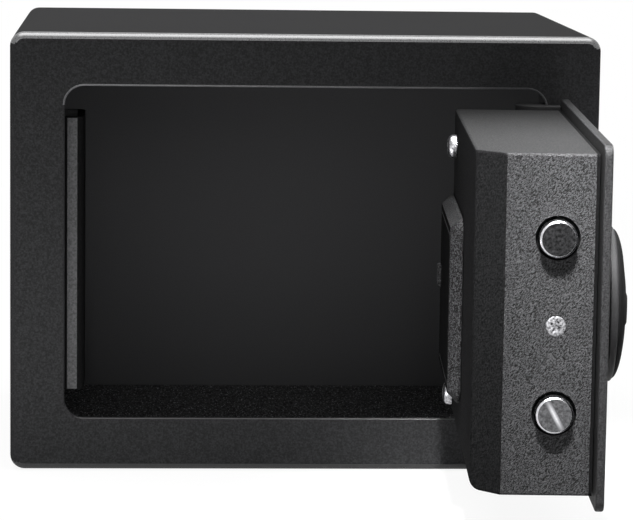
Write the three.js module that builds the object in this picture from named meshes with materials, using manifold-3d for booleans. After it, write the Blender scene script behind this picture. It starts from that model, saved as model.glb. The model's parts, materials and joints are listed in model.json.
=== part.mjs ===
import * as THREE from 'three';
import { mergeVertices } from 'three/addons/utils/BufferGeometryUtils.js';
import Module from 'manifold-3d';

// A small steel safe with an electronic lock, in millimetres.
// +X is to the right, +Y to the back and +Z up; the origin is the middle of the underside.
// The door is hinged on the right and stands open. Its pieces are drawn where they are when
// it is shut, in one group that is then turned on the hinge pins.

const wasm = await Module();
wasm.setup();

// Clearances
const weldGap = 0.2;
const seatGap = 0.3;
const runGap = 0.3;
const overrun = 6;

// Case
const bodyWidth = 230;
const bodyDepth = 170;
const bodyHeight = 172;
const bodySheet = 2;
const bodyBend = 5.5;
const frontBend = 3;
const frameSide = 21.25;
const frameHead = 20.6;
const openingSill = 20.9;
const openingCorner = 7.5;
const fixingHoleRadius = 4.2;
const fixingHoleSpacing = 120;
const matThickness = 2.2;
const matGap = 3.7;
const matCorner = 4;
const matHoleRadius = 8;

const openingWidth = bodyWidth - 2 * frameSide;
const openingHeight = bodyHeight - openingSill - frameHead;
const frontY = -bodyDepth / 2;
const backY = bodyDepth / 2;
const panelBackY = frontY + bodySheet;
const sideInnerX = bodyWidth / 2 - bodySheet;
const openingEdgeX = openingWidth / 2;
const middleZ = openingSill + openingHeight / 2;

// Door plate
const doorSideGap = 3.55;
const doorEndGap = 3;
const doorRecess = 2;
const plateThickness = 3;
const plateCorner = 4.2;
const openAngle = 86.8;

const plateEdgeX = openingEdgeX - doorSideGap;
const plateHalfHeight = openingHeight / 2 - doorEndGap;
const plateFrontY = frontY + doorRecess;
const plateBackY = plateFrontY + plateThickness;
const seatY = plateBackY + seatGap;

// Hinges
const pinOffset = 4.75;
const pinDepth = 4;
const pinRadius = 2;
const pinHeadRadius = 3.2;
const pinHeadHeight = 1.7;
const pinTail = 1;
const eyeRadius = 3.6;
const armThickness = 4;
const armInset = 2.5;
const hookRadius = 3.2;
const hookOffset = 6.3;
const hookRise = 3;
const footFarX = 16;
const neckRise = 8;
const neckRadius = 8.4;
const washerThickness = 0.9;
const washerRadius = 4;
const washerGap = 0.2;
const bracketSheet = 3;
const bracketLeaf = 22;
const bracketLength = 16;
const bracketBend = 3.5;

const pinX = openingEdgeX + pinOffset;
const pinY = panelBackY + pinDepth;
const armOuterZ = plateHalfHeight - armInset;

// Lock housing
const housingInset = 9.3;
const housingFarInset = 8.6;
const housingMargin = 3.95;
const housingDepth = 41;
const housingSheet = 1.5;
const housingGap = 0.5;
const housingChamfer = 10;
const housingBend = 1.6;
const postRadius = 4;
const postInset = 23.5;
const postHeadMargin = 12.2;
const postFootMargin = 9.4;
const screwRadius = 2;
const screwLength = 12;
const panHeadRadius = 4.5;
const panHeadHeight = 3.6;
const panHeadShares = [[1, 0], [1, 0.3], [0.9, 0.7], [0.65, 0.94], [0, 1]];
const recessReachShare = 0.5;
const recessWidthShare = 0.13;
const edgeHeadRadius = 3.5;
const edgeHeadDepth = 1.9;
const edgeScrewRadius = 1.75;
const edgeScrewLength = 9;

const nearX = -plateEdgeX + housingInset;
const farX = plateEdgeX - housingFarInset;
const housingLength = farX - nearX;
const housingFrontY = plateBackY + housingGap;
const housingBackY = housingFrontY + housingDepth;
const housingHalfHeight = plateHalfHeight - housingMargin;
const postX = farX - postInset;

// Bolt work
const boltRadius = 6.5;
const boltChamfer = 0.7;
const boltProud = 4.3;
const boltThrow = 11;
const boltDepth = 13.5;
const boltSpacing = 59.7;
const boltHoleGap = 0.7;
const boltLength = 33;
const tenonRadius = 4;
const tenonLength = 2.8;
const carrierSheet = 2;
const carrierBackset = 3.9;
const carrierTallHalf = 38;
const carrierHalfHeight = 24;
const carrierShoulder = 8;
const carrierLength = 38;
const guideSheet = 2;
const guideBend = 3;
const guideFoot = 15;
const guideDepth = 28;
const guideHalfHeight = 42;
const studInset = 37;
const studSpacing = 34;
const studRadius = 3;
const studHeadRadius = 5;
const studHeadHeight = 1.5;

const boltY = housingFrontY + boltDepth;
const boltTipX = nearX - boltProud;
const boltTailX = boltTipX + boltLength;
const carrierY = plateBackY + carrierBackset + seatGap;
const carrierFarX = boltTailX + carrierLength;

// Knob and cam
const knobPlaceShare = 0.32;
const knobRadius = 26.9;
const knobFlangeRadius = 27.6;
const knobFlangeHeight = 2.2;
const knobGrooveRadius = 25.2;
const knobGroove = 0.7;
const knobRim = 6.6;
const knobDome = 11.1;
const knobEdge = 1;
const gripLength = 48;
const gripWidth = 9;
const gripHeight = 11.6;
const scoopLength = 32;
const scoopWidth = 17;
const scoopDepth = 3.6;
const spindleRadius = 4;
const camRadius = 12;
const camThickness = 2.4;
const camGap = 1.2;
const crankPinRadius = 2.5;
const crankSlotGap = 0.45;

const knobX = nearX + knobPlaceShare * housingLength;
const crankOffset = boltThrow / 2;
const crankY0 = plateBackY + camGap;
const crankY1 = crankY0 + camThickness;

// Strike channel
const strikeProud = 7.35;
const strikeFootGap = 10.1;
const strikeHeadGap = 12.4;
const strikeSheet = 2;
const strikeBend = 3.2;
const strikeDepth = 33;
const strikeGap = 0.4;
const strikeHoleGap = 1.5;

const strikeBottom = openingSill + strikeFootGap;
const strikeTop = openingSill + openingHeight - strikeHeadGap;

// Solenoid
const solenoidWidth = 14;
const solenoidDepth = 12;
const solenoidHeadGap = 3.8;
const solenoidInset = 61.5;
const solenoidRise = 7;
const plungerRadius = 2.5;
const plungerTail = 1;
const collarRadius = 4;
const collarThickness = 1.7;
const collarRise = 1.2;
const plungerRestGap = 0.4;

const solenoidHeight = housingHalfHeight - housingSheet - carrierHalfHeight - solenoidRise - solenoidHeadGap;
const plungerLength = solenoidHeight + plungerTail;

// Battery bay
const coverFarInset = 4.5;
const coverLength = 81.5;
const coverHeightShare = 0.5823;
const coverDropShare = 0.0669;
const coverRaise = 4.9;
const coverWall = 1.8;
const coverCorner = 4.6;
const coverBevel = 3.6;
const coverInnerBevel = 2.2;
const tabLength = 6;
const tabHeight = 8.7;
const tabRaise = 1.4;
const tabInset = 5;
const tabLift = 2.9;
const bayRimNear = 4.5;
const bayRimFar = 13;
const bayRimZ = 3.7;
const trayDepth = 17.5;
const trayWall = 1.2;
const trayFlange = 1;
const trayFlangeReach = 2;
const cellLength = 49.5;
const cellMargin = 1.45;
const cellPlay = 0.1;
const cellNubRadius = 2.7;
const cellNubLength = 1.2;
const cellEdge = 0.6;
const contactSheet = 0.6;
const contactHeight = 11;
const contactBumpRadius = 2.4;
const cellCount = 4;

const coverHeight = 2 * housingHalfHeight * coverHeightShare;
const coverX1 = farX - coverFarInset;
const coverX0 = coverX1 - coverLength;
const coverMidZ = middleZ - 2 * housingHalfHeight * coverDropShare;
const bayX0 = coverX0 + bayRimNear;
const bayX1 = coverX1 - bayRimFar;
const bayHalfHeight = coverHeight / 2 - bayRimZ;
const cellPitch = 2 * (bayHalfHeight - cellMargin) / cellCount;
const cellRadius = cellPitch / 2 - cellPlay;

// Keypad and key lock
const keypadPlaceShare = 0.72;
const keypadWidthShare = 0.3323;
const keypadEndGap = 12.25;
const keypadProud = 4;
const keypadWall = 1.6;
const keypadCorner = 5;
const keypadBevel = 1.2;
const keySideGap = 4.5;
const keySpaceX = 3.5;
const keyTopGap = 3.25;
const keyFootGap = 11.35;
const keyHeightShare = 2 / 3;
const keyCornerShare = 0.178;
const keyStemShare = 0.556;
const keyBevelShare = 0.06;
const keyProud = 1.4;
const keyTravel = 1;
const keyFlange = 0.8;
const keyFlangeThickness = 1;
const keyRows = 4;
const keyColumns = 3;
const windowMargin = 1.6;
const boardThickness = 1.6;
const boardMargin = 2.2;
const boardGap = 0.3;
const ledRadius = 1.6;
const ledSpacing = 16;
const ledInset = 10;
const ledProud = 0.5;
const ledDomeShares = [[0, 0], [0.7, 0.3], [1, 1]];
const lockInset = 13.4;
const lockRadius = 7.8;
const lockBoreRadius = 5.2;
const lockLength = 20;
const lockFloor = 1.5;
const keywayWidth = 1.4;
const keywayHeight = 6.5;
const keywayDepth = 8;
const flapRadius = 9.5;
const flapThickness = 1.5;
const flapPivotRise = 12.5;
const flapEarRadius = 4;
const flapPivotRadius = 1.7;

const keypadX = nearX + keypadPlaceShare * housingLength;
const keypadWidth = keypadWidthShare * housingLength;
const keypadHeight = 2 * (plateHalfHeight - keypadEndGap);
const ledRise = keypadHeight / 2 - ledInset;
const lockDrop = keypadHeight / 2 - lockInset;
const keysTop = ledRise - keyTopGap;
const keysFoot = flapPivotRise + keyFootGap - lockDrop;
const keyPitchX = (keypadWidth - 2 * keySideGap) / keyColumns;
const keyPitchZ = (keysTop - keysFoot) / (keyRows - 1 + keyHeightShare);
const keyWidth = keyPitchX - keySpaceX;
const keyHeight = keyPitchZ * keyHeightShare;
const keyCorner = keyHeight * keyCornerShare;
const keyBevel = keyHeight * keyBevelShare;
const keyStem = keyHeight * keyStemShare;
const bezelFrontY = plateFrontY - keypadProud;
const bezelInnerY = bezelFrontY + keypadWall;
const boardY = plateBackY + boardGap;
const keyMidZ = middleZ + (keysTop + keysFoot) / 2;
const lockZ = middleZ - lockDrop;
const flapPivotZ = lockZ + flapPivotRise;

// Facets
const bendSteps = 3;
const cornerSteps = 4;
const roundSteps = 16;
const wideSteps = 32;
const keySteps = 2;
const fewSteps = 10;
const domeSteps = 5;
const quarter = Math.PI / 2;

// Geometry helpers

function toSolid(geometry) {
  const bare = geometry.clone();
  bare.deleteAttribute('normal');
  bare.deleteAttribute('uv');
  const merged = mergeVertices(bare, 1e-4);
  const position = merged.attributes.position;
  const index = merged.index.array;
  const corners = [];
  for (let i = 0; i < index.length; i += 3) {
    const [a, b, c] = [index[i], index[i + 1], index[i + 2]];
    if (a !== b && b !== c && c !== a) corners.push(a, b, c);
  }
  let volume = 0;
  const [p, q, r] = [new THREE.Vector3(), new THREE.Vector3(), new THREE.Vector3()];
  for (let i = 0; i < corners.length; i += 3) {
    p.fromBufferAttribute(position, corners[i]);
    q.fromBufferAttribute(position, corners[i + 1]);
    r.fromBufferAttribute(position, corners[i + 2]);
    volume += p.dot(q.cross(r));
  }
  if (volume < 0) corners.reverse();
  return new wasm.Manifold(new wasm.Mesh({
    numProp: 3,
    vertProperties: new Float32Array(position.array),
    triVerts: new Uint32Array(corners),
  }));
}

function toGeometry(solid) {
  const mesh = solid.getMesh();
  const geometry = new THREE.BufferGeometry();
  geometry.setAttribute('position', new THREE.BufferAttribute(mesh.vertProperties, 3));
  geometry.setIndex(new THREE.BufferAttribute(mesh.triVerts, 1));
  geometry.computeVertexNormals();
  return geometry;
}

// A solid made of the first one, less all the others
function cut(solid, ...tools) {
  return tools.reduce((rest, tool) => rest.subtract(tool), solid);
}

function join(...solids) {
  return solids.reduce((all, one) => all.add(one));
}

function box(x0, x1, y0, y1, z0, z1) {
  const geometry = new THREE.BoxGeometry(x1 - x0, y1 - y0, z1 - z0);
  geometry.translate((x0 + x1) / 2, (y0 + y1) / 2, (z0 + z1) / 2);
  return toSolid(geometry);
}

function roundedOutline(u0, u1, v0, v1, radius) {
  const outline = new THREE.Shape();
  outline.moveTo(u0 + radius, v0);
  outline.lineTo(u1 - radius, v0);
  outline.absarc(u1 - radius, v0 + radius, radius, -quarter, 0, false);
  outline.lineTo(u1, v1 - radius);
  outline.absarc(u1 - radius, v1 - radius, radius, 0, quarter, false);
  outline.lineTo(u0 + radius, v1);
  outline.absarc(u0 + radius, v1 - radius, radius, quarter, 2 * quarter, false);
  outline.lineTo(u0, v0 + radius);
  outline.absarc(u0 + radius, v0 + radius, radius, 2 * quarter, 3 * quarter, false);
  return outline;
}

// An outline drawn in X and Z, carried from y0 to y1
function slabY(outline, y0, y1, steps = cornerSteps) {
  const geometry = new THREE.ExtrudeGeometry(outline, {
    depth: y1 - y0, bevelEnabled: false, curveSegments: steps,
  });
  geometry.rotateX(quarter);
  geometry.translate(0, y1, 0);
  return toSolid(geometry);
}

// The same with its front edge (towards -Y) rounded; it is made too deep and cut off at y1
function softSlabY(outline, y0, y1, round, steps = cornerSteps, bevelSteps = bendSteps) {
  const geometry = new THREE.ExtrudeGeometry(outline, {
    depth: y1 - y0 + overrun, bevelEnabled: true, bevelSize: round, bevelThickness: round,
    bevelOffset: -round, bevelSegments: bevelSteps, curveSegments: steps,
  });
  geometry.rotateX(quarter);
  geometry.translate(0, y1 + overrun + round, 0);
  geometry.computeBoundingBox();
  const bounds = geometry.boundingBox;
  const rest = box(
    bounds.min.x - overrun, bounds.max.x + overrun, y1, bounds.max.y + overrun,
    bounds.min.z - overrun, bounds.max.z + overrun,
  );
  return toSolid(geometry).subtract(rest);
}

// The same with its back edge (towards +Y) cut off at 45 degrees
function chamferedBack(outline, y0, y1, chamfer) {
  const geometry = toGeometry(softSlabY(outline, -y1, -y0, chamfer, cornerSteps, 1));
  geometry.scale(1, -1, 1);
  return toSolid(geometry);
}

// An outline drawn in X and Y, carried from z0 to z1
function slabZ(outline, z0, z1, steps = cornerSteps) {
  const geometry = new THREE.ExtrudeGeometry(outline, {
    depth: z1 - z0, bevelEnabled: false, curveSegments: steps,
  });
  geometry.translate(0, 0, z0);
  return toSolid(geometry);
}

function rodX(radius, x0, x1, y, z, steps = roundSteps) {
  const geometry = new THREE.CylinderGeometry(radius, radius, x1 - x0, steps);
  geometry.rotateZ(quarter);
  geometry.translate((x0 + x1) / 2, y, z);
  return toSolid(geometry);
}

function rodY(radius, x, y0, y1, z, steps = roundSteps) {
  const geometry = new THREE.CylinderGeometry(radius, radius, y1 - y0, steps);
  geometry.translate(x, (y0 + y1) / 2, z);
  return toSolid(geometry);
}

function rodZ(radius, x, y, z0, z1, steps = roundSteps) {
  const geometry = new THREE.CylinderGeometry(radius, radius, z1 - z0, steps);
  geometry.rotateX(quarter);
  geometry.translate(x, y, (z0 + z1) / 2);
  return toSolid(geometry);
}

// A turned piece: pairs of radius and height above its start, along Y or X
function turned(pairs, steps = roundSteps) {
  const profile = pairs.map(([radius, height]) => new THREE.Vector2(radius, height));
  return new THREE.LatheGeometry(profile, steps);
}

function turnedY(pairs, x, y, z, steps) {
  const geometry = turned(pairs, steps);
  geometry.translate(x, y, z);
  return toSolid(geometry);
}

function turnedX(pairs, x, y, z, steps) {
  const geometry = turned(pairs, steps);
  geometry.rotateZ(-quarter);
  geometry.translate(x, y, z);
  return toSolid(geometry);
}

// A slot with round ends, from u0 to u1 between its end centres
function slotOutline(u0, u1, v, radius) {
  const outline = new THREE.Shape();
  outline.moveTo(u0, v - radius);
  outline.lineTo(u1, v - radius);
  outline.absarc(u1, v, radius, -quarter, quarter, false);
  outline.lineTo(u0, v + radius);
  outline.absarc(u0, v, radius, quarter, 3 * quarter, false);
  return outline;
}

// An L of sheet with a rounded bend: one leg along u, one along v, from the corner at (u, v);
// the signs give the way that each leg runs
function angleOutline(u, v, lengthU, lengthV, sheet, bend, signU, signV) {
  const outline = new THREE.Shape();
  const at = (a, b) => [u + signU * a, v + signV * b];
  const inner = Math.max(bend - sheet, 0);
  outline.moveTo(...at(bend, 0));
  outline.lineTo(...at(lengthU, 0));
  outline.lineTo(...at(lengthU, sheet));
  outline.lineTo(...at(sheet + inner, sheet));
  outline.quadraticCurveTo(...at(sheet, sheet), ...at(sheet, sheet + inner));
  outline.lineTo(...at(sheet, lengthV));
  outline.lineTo(...at(0, lengthV));
  outline.lineTo(...at(0, bend));
  outline.quadraticCurveTo(...at(0, 0), ...at(bend, 0));
  return outline;
}

// Materials

function finish(color, roughness, metalness) {
  return new THREE.MeshStandardMaterial({ color, roughness, metalness });
}

const materials = {
  casePaint: finish(0x2b2b2c, 0.55, 0.2),
  innerPaint: finish(0x262628, 0.6, 0.2),
  texturedPaint: finish(0x3c3c3d, 0.62, 0.25),
  mat: finish(0x1d1d20, 0.98, 0),
  zinc: finish(0xb9babc, 0.35, 0.9),
  chrome: finish(0xd8d9db, 0.18, 1),
  steel: finish(0x8a8c8f, 0.4, 0.9),
  blackPlastic: finish(0x1b1b1c, 0.5, 0),
  keyPlastic: finish(0xcfd0d2, 0.55, 0),
  board: finish(0x1f4a33, 0.5, 0),
  redLens: finish(0xa01414, 0.2, 0),
  greenLens: finish(0x128a2c, 0.2, 0),
  brass: finish(0xb58a3c, 0.35, 0.9),
  cell: finish(0x30343a, 0.4, 0.3),
};

function piece(name, solid, material) {
  const mesh = new THREE.Mesh(toGeometry(solid), material);
  mesh.name = name;
  return mesh;
}

// Case

function bodyShell() {
  const half = bodyWidth / 2;
  const outside = softSlabY(
    roundedOutline(-half, half, 0, bodyHeight, bodyBend), frontY, backY, frontBend,
  );
  const innerBend = bodyBend - bodySheet;
  const inside = slabY(
    roundedOutline(-sideInnerX, sideInnerX, bodySheet, bodyHeight - bodySheet, innerBend),
    panelBackY, backY + overrun,
  );
  const mouthOutline = roundedOutline(
    -openingEdgeX, openingEdgeX, openingSill, openingSill + openingHeight, openingCorner,
  );
  const mouth = slabY(mouthOutline, frontY - overrun, panelBackY + overrun);
  const holes = fixingHoles(fixingHoleRadius);
  return piece('body_shell', cut(outside, inside, mouth, ...holes), materials.casePaint);
}

// Two holes through the floor, wider through the mat so that a bolt's head sits on the steel
function fixingHoles(radius) {
  return [-1, 1].map((side) => rodZ(
    radius, side * fixingHoleSpacing / 2, 0, -overrun, bodySheet + matThickness + overrun,
  ));
}

function backPlate() {
  const edge = sideInnerX - weldGap;
  const innerBend = bodyBend - bodySheet;
  const plate = slabY(
    roundedOutline(-edge, edge, bodySheet + weldGap, bodyHeight - bodySheet - weldGap, innerBend),
    backY - bodySheet, backY,
  );
  return piece('back_plate', plate, materials.casePaint);
}

function floorMat() {
  const edge = sideInnerX - matGap;
  const outline = roundedOutline(
    -edge, edge, panelBackY + matGap, backY - bodySheet - matGap, matCorner,
  );
  const sheet = slabZ(outline, bodySheet, bodySheet + matThickness);
  return piece('floor_mat', cut(sheet, ...fixingHoles(matHoleRadius)), materials.mat);
}

// The channel stands behind the door plate's latch edge: the plate stops against its front
// and the bolts go through its side
function strikeChannel() {
  const wallX = -sideInnerX + weldGap;
  const edgeX = -openingEdgeX + strikeProud;
  const y0 = plateBackY + strikeGap;
  const y1 = y0 + strikeDepth;
  const inner = strikeBend - strikeSheet;
  const outline = new THREE.Shape();
  outline.moveTo(wallX, y0);
  outline.lineTo(edgeX - strikeBend, y0);
  outline.absarc(edgeX - strikeBend, y0 + strikeBend, strikeBend, -quarter, 0, false);
  outline.lineTo(edgeX, y1 - strikeBend);
  outline.absarc(edgeX - strikeBend, y1 - strikeBend, strikeBend, 0, quarter, false);
  outline.lineTo(wallX, y1);
  outline.lineTo(wallX, y1 - strikeSheet);
  outline.lineTo(edgeX - strikeBend, y1 - strikeSheet);
  outline.absarc(edgeX - strikeBend, y1 - strikeBend, inner, quarter, 0, true);
  outline.lineTo(edgeX - strikeSheet, y0 + strikeBend);
  outline.absarc(edgeX - strikeBend, y0 + strikeBend, inner, 0, -quarter, true);
  outline.lineTo(wallX, y0 + strikeSheet);
  const channel = slabZ(outline, strikeBottom, strikeTop);
  const holes = [-1, 1].map((side) => rodX(
    boltRadius + strikeHoleGap, edgeX - strikeSheet - inner, edgeX + overrun, boltY,
    middleZ + side * boltSpacing / 2,
  ));
  return piece('strike_channel', cut(channel, ...holes), materials.casePaint);
}

// Hinges: side is 1 for the upper and -1 for the lower one

function bracketFaceZ(side) {
  return middleZ + side * (armOuterZ + washerThickness + 2 * washerGap);
}

function hingeBracket(name, side) {
  const faceZ = bracketFaceZ(side);
  const outline = angleOutline(
    sideInnerX - weldGap, faceZ + side * bracketSheet, sideInnerX - weldGap - openingEdgeX - weldGap,
    bracketLeaf, bracketSheet, bracketBend, -1, -side,
  );
  const y0 = panelBackY + weldGap;
  const angle = slabY(outline, y0, y0 + bracketLength);
  const hole = rodZ(
    pinRadius + runGap / 2, pinX, pinY, faceZ - bracketSheet - overrun, faceZ + bracketSheet + overrun,
  );
  return piece(name, cut(angle, hole), materials.innerPaint);
}

function hingePin(name, side) {
  const headZ = bracketFaceZ(side) + side * (bracketSheet + seatGap);
  const length = bracketSheet + washerThickness + 2 * washerGap + armThickness + pinTail + seatGap;
  const geometry = turned([
    [0, -length], [pinRadius, -length], [pinRadius, 0], [pinHeadRadius, 0],
    [pinHeadRadius, pinHeadHeight / 2], [pinRadius, pinHeadHeight], [0, pinHeadHeight],
  ]);
  geometry.rotateX(side * quarter);
  geometry.translate(pinX, pinY, headZ);
  return piece(name, toSolid(geometry), materials.zinc);
}

function hingeWasher(name, side) {
  const near = middleZ + side * (armOuterZ + washerGap);
  const far = near + side * washerThickness;
  const [z0, z1] = [Math.min(near, far), Math.max(near, far)];
  const ring = rodZ(washerRadius, pinX, pinY, z0, z1);
  const hole = rodZ(pinRadius + runGap, pinX, pinY, z0 - overrun, z1 + overrun);
  return piece(name, cut(ring, hole), materials.steel);
}

// The gooseneck: from its foot on the plate it rises, and comes back round the frame's edge
// to the eye on the pin. The hook inside it is where the frame's edge goes when the door opens
function armOutline() {
  const outline = new THREE.Shape();
  const footY = seatY - pinY;
  outline.moveTo(-footFarX, footY);
  outline.lineTo(-hookOffset - hookRadius, footY);
  outline.lineTo(-hookOffset - hookRadius, hookRise);
  outline.absarc(-hookOffset, hookRise, hookRadius, 2 * quarter, 0, true);
  outline.lineTo(-eyeRadius * Math.cos(quarter / 3), eyeRadius * Math.sin(quarter / 3));
  outline.absarc(0, 0, eyeRadius, 5 * quarter / 3, 4 * quarter + quarter / 3, false);
  outline.lineTo(-footFarX + neckRadius + eyeRadius, neckRise + neckRadius);
  outline.lineTo(-footFarX + neckRadius, neckRise + neckRadius);
  outline.absarc(-footFarX + neckRadius, neckRise, neckRadius, quarter, 2 * quarter, false);
  return outline;
}

function hingeArm(name, side) {
  const outerZ = middleZ + side * armOuterZ;
  const innerZ = outerZ - side * armThickness;
  const [z0, z1] = [Math.min(outerZ, innerZ), Math.max(outerZ, innerZ)];
  const geometry = toGeometry(slabZ(armOutline(), z0, z1));
  geometry.translate(pinX, pinY, 0);
  const hole = rodZ(pinRadius + runGap, pinX, pinY, z0 - overrun, z1 + overrun);
  return piece(name, cut(toSolid(geometry), hole), materials.texturedPaint);
}

// Door

function doorPlate() {
  const outline = roundedOutline(
    -plateEdgeX, plateEdgeX, middleZ - plateHalfHeight, middleZ + plateHalfHeight, plateCorner,
  );
  const plate = slabY(outline, plateFrontY, plateBackY);
  const y0 = plateFrontY - overrun;
  const y1 = plateBackY + overrun;
  const spindleHole = rodY(spindleRadius + runGap, knobX, y0, y1, middleZ);
  const lockHole = rodY(lockRadius + runGap, keypadX, y0, y1, lockZ);
  const windowX = keyPitchX * (keyColumns - 1) / 2 + keyWidth / 2 + windowMargin;
  const windowZ = keyPitchZ * (keyRows - 1) / 2 + keyHeight / 2 + windowMargin;
  const windowOutline = roundedOutline(
    keypadX - windowX, keypadX + windowX, keyMidZ - windowZ, keyMidZ + windowZ, keyCorner,
  );
  const window = slabY(windowOutline, y0, y1);
  const ledHoles = ledPlaces().map(([x, z]) => rodY(ledRadius + runGap, x, y0, y1, z));
  const cutPlate = cut(plate, spindleHole, lockHole, window, ...ledHoles);
  return piece('door_plate', cutPlate, materials.texturedPaint);
}

// The housing's section in X and Y, drawn a wall smaller for its inside
function housingOutline(wall, frontReach) {
  const x0 = nearX + wall;
  const x1 = farX - wall;
  const y0 = housingFrontY - frontReach;
  const y1 = housingBackY - wall;
  const bend = Math.max(housingBend - wall, housingBend / 4);
  const slope = housingChamfer - wall * Math.tan(quarter / 4);
  const outline = new THREE.Shape();
  outline.moveTo(x0, y0);
  outline.lineTo(x1, y0);
  outline.lineTo(x1, y1 - bend);
  outline.absarc(x1 - bend, y1 - bend, bend, 0, quarter, false);
  outline.lineTo(x0 + slope + bend, y1);
  outline.quadraticCurveTo(x0 + slope, y1, x0 + slope - bend * Math.SQRT1_2, y1 - bend * Math.SQRT1_2);
  outline.lineTo(x0 + bend * Math.SQRT1_2, y1 - slope + bend * Math.SQRT1_2);
  outline.quadraticCurveTo(x0, y1 - slope, x0, y1 - slope - bend);
  return outline;
}

function lockHousing() {
  const outside = slabZ(
    housingOutline(0, 0), middleZ - housingHalfHeight, middleZ + housingHalfHeight, bendSteps,
  );
  const innerHalf = housingHalfHeight - housingSheet;
  const inside = slabZ(
    housingOutline(housingSheet, overrun), middleZ - innerHalf, middleZ + innerHalf, bendSteps,
  );
  const boltHoles = [-1, 1].map((side) => rodX(
    boltRadius + boltHoleGap, nearX - overrun, nearX + overrun, boltY,
    middleZ + side * boltSpacing / 2, wideSteps,
  ));
  const sink = edgeHeadDepth + seatGap;
  const edgeHole = turnedX([
    [0, -overrun], [edgeHeadRadius + seatGap, -overrun], [edgeHeadRadius + seatGap, 0],
    [edgeScrewRadius + seatGap, sink], [edgeScrewRadius + seatGap, overrun], [0, overrun],
  ], nearX, boltY, middleZ);
  const screwHoles = [-1, 1].map((side) => rodY(
    screwRadius + seatGap, postX, housingBackY - overrun, housingBackY + overrun, postZ(side),
  ));
  const bay = box(
    bayX0 - seatGap, bayX1 + seatGap, housingBackY - overrun, housingBackY + overrun,
    coverMidZ - bayHalfHeight - seatGap, coverMidZ + bayHalfHeight + seatGap,
  );
  const pan = cut(outside, inside, ...boltHoles, edgeHole, ...screwHoles, bay);
  return piece('lock_housing', pan, materials.texturedPaint);
}

function postZ(side) {
  return middleZ + (side < 0 ? postFootMargin - housingHalfHeight : housingHalfHeight - postHeadMargin);
}

function housingPost(name, side) {
  const z = postZ(side);
  const y1 = housingBackY - housingSheet - seatGap;
  const post = rodY(postRadius, postX, seatY, y1, z);
  const bore = rodY(screwRadius + seatGap, postX, y1 - screwLength, y1 + overrun, z);
  return piece(name, cut(post, bore), materials.zinc);
}

function housingScrew(name, side) {
  const z = postZ(side);
  const y = housingBackY + seatGap;
  const head = panHeadShares.map(([across, up]) => [panHeadRadius * across, panHeadHeight * up]);
  const screw = turnedY(
    [[0, -screwLength], [screwRadius, -screwLength], [screwRadius, 0], ...head], postX, y, z,
  );
  const recess = crossRecess(panHeadRadius, panHeadHeight / 2, postX, y + panHeadHeight, z);
  return piece(name, cut(screw, ...recess), materials.chrome);
}

// Two crossed slots, seen from the back face
function crossRecess(headRadius, depth, x, y, z) {
  const long = headRadius * recessReachShare;
  const short = headRadius * recessWidthShare;
  return [
    box(x - long, x + long, y - depth, y + overrun, z - short, z + short),
    box(x - short, x + short, y - depth, y + overrun, z - long, z + long),
  ];
}

function edgeScrew() {
  const screw = turnedX([
    [0, 0], [edgeHeadRadius, 0], [edgeScrewRadius, edgeHeadDepth], [edgeScrewRadius, edgeScrewLength],
    [0, edgeScrewLength],
  ], nearX, boltY, middleZ);
  const long = edgeHeadRadius * recessReachShare;
  const short = edgeHeadRadius * recessWidthShare;
  const depth = edgeHeadDepth / 2;
  const slots = [
    box(nearX - overrun, nearX + depth, boltY - long, boltY + long, middleZ - short, middleZ + short),
    box(nearX - overrun, nearX + depth, boltY - short, boltY + short, middleZ - long, middleZ + long),
  ];
  return piece('edge_screw', cut(screw, ...slots), materials.chrome);
}

// Bolt work

function boltGuide() {
  const x0 = nearX + housingSheet + seatGap;
  const outline = angleOutline(x0, seatY, guideFoot, guideDepth, guideSheet, guideBend, 1, 1);
  const angle = slabZ(outline, middleZ - guideHalfHeight, middleZ + guideHalfHeight);
  const holes = [-1, 1].map((side) => rodX(
    boltRadius + runGap, x0 - overrun, x0 + overrun, boltY, middleZ + side * boltSpacing / 2, wideSteps,
  ));
  const screwHole = rodX(edgeScrewRadius + seatGap, x0 - overrun, x0 + overrun, boltY, middleZ);
  return piece('bolt_guide', cut(angle, ...holes, screwHole), materials.zinc);
}

function bolt(name, side) {
  const solid = turnedX([
    [0, 0], [boltRadius - boltChamfer, 0], [boltRadius, boltChamfer], [boltRadius, boltLength],
    [tenonRadius, boltLength], [tenonRadius, boltLength + tenonLength], [0, boltLength + tenonLength],
  ], boltTipX, boltY, middleZ + side * boltSpacing / 2, wideSteps);
  return piece(name, solid, materials.chrome);
}

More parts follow.
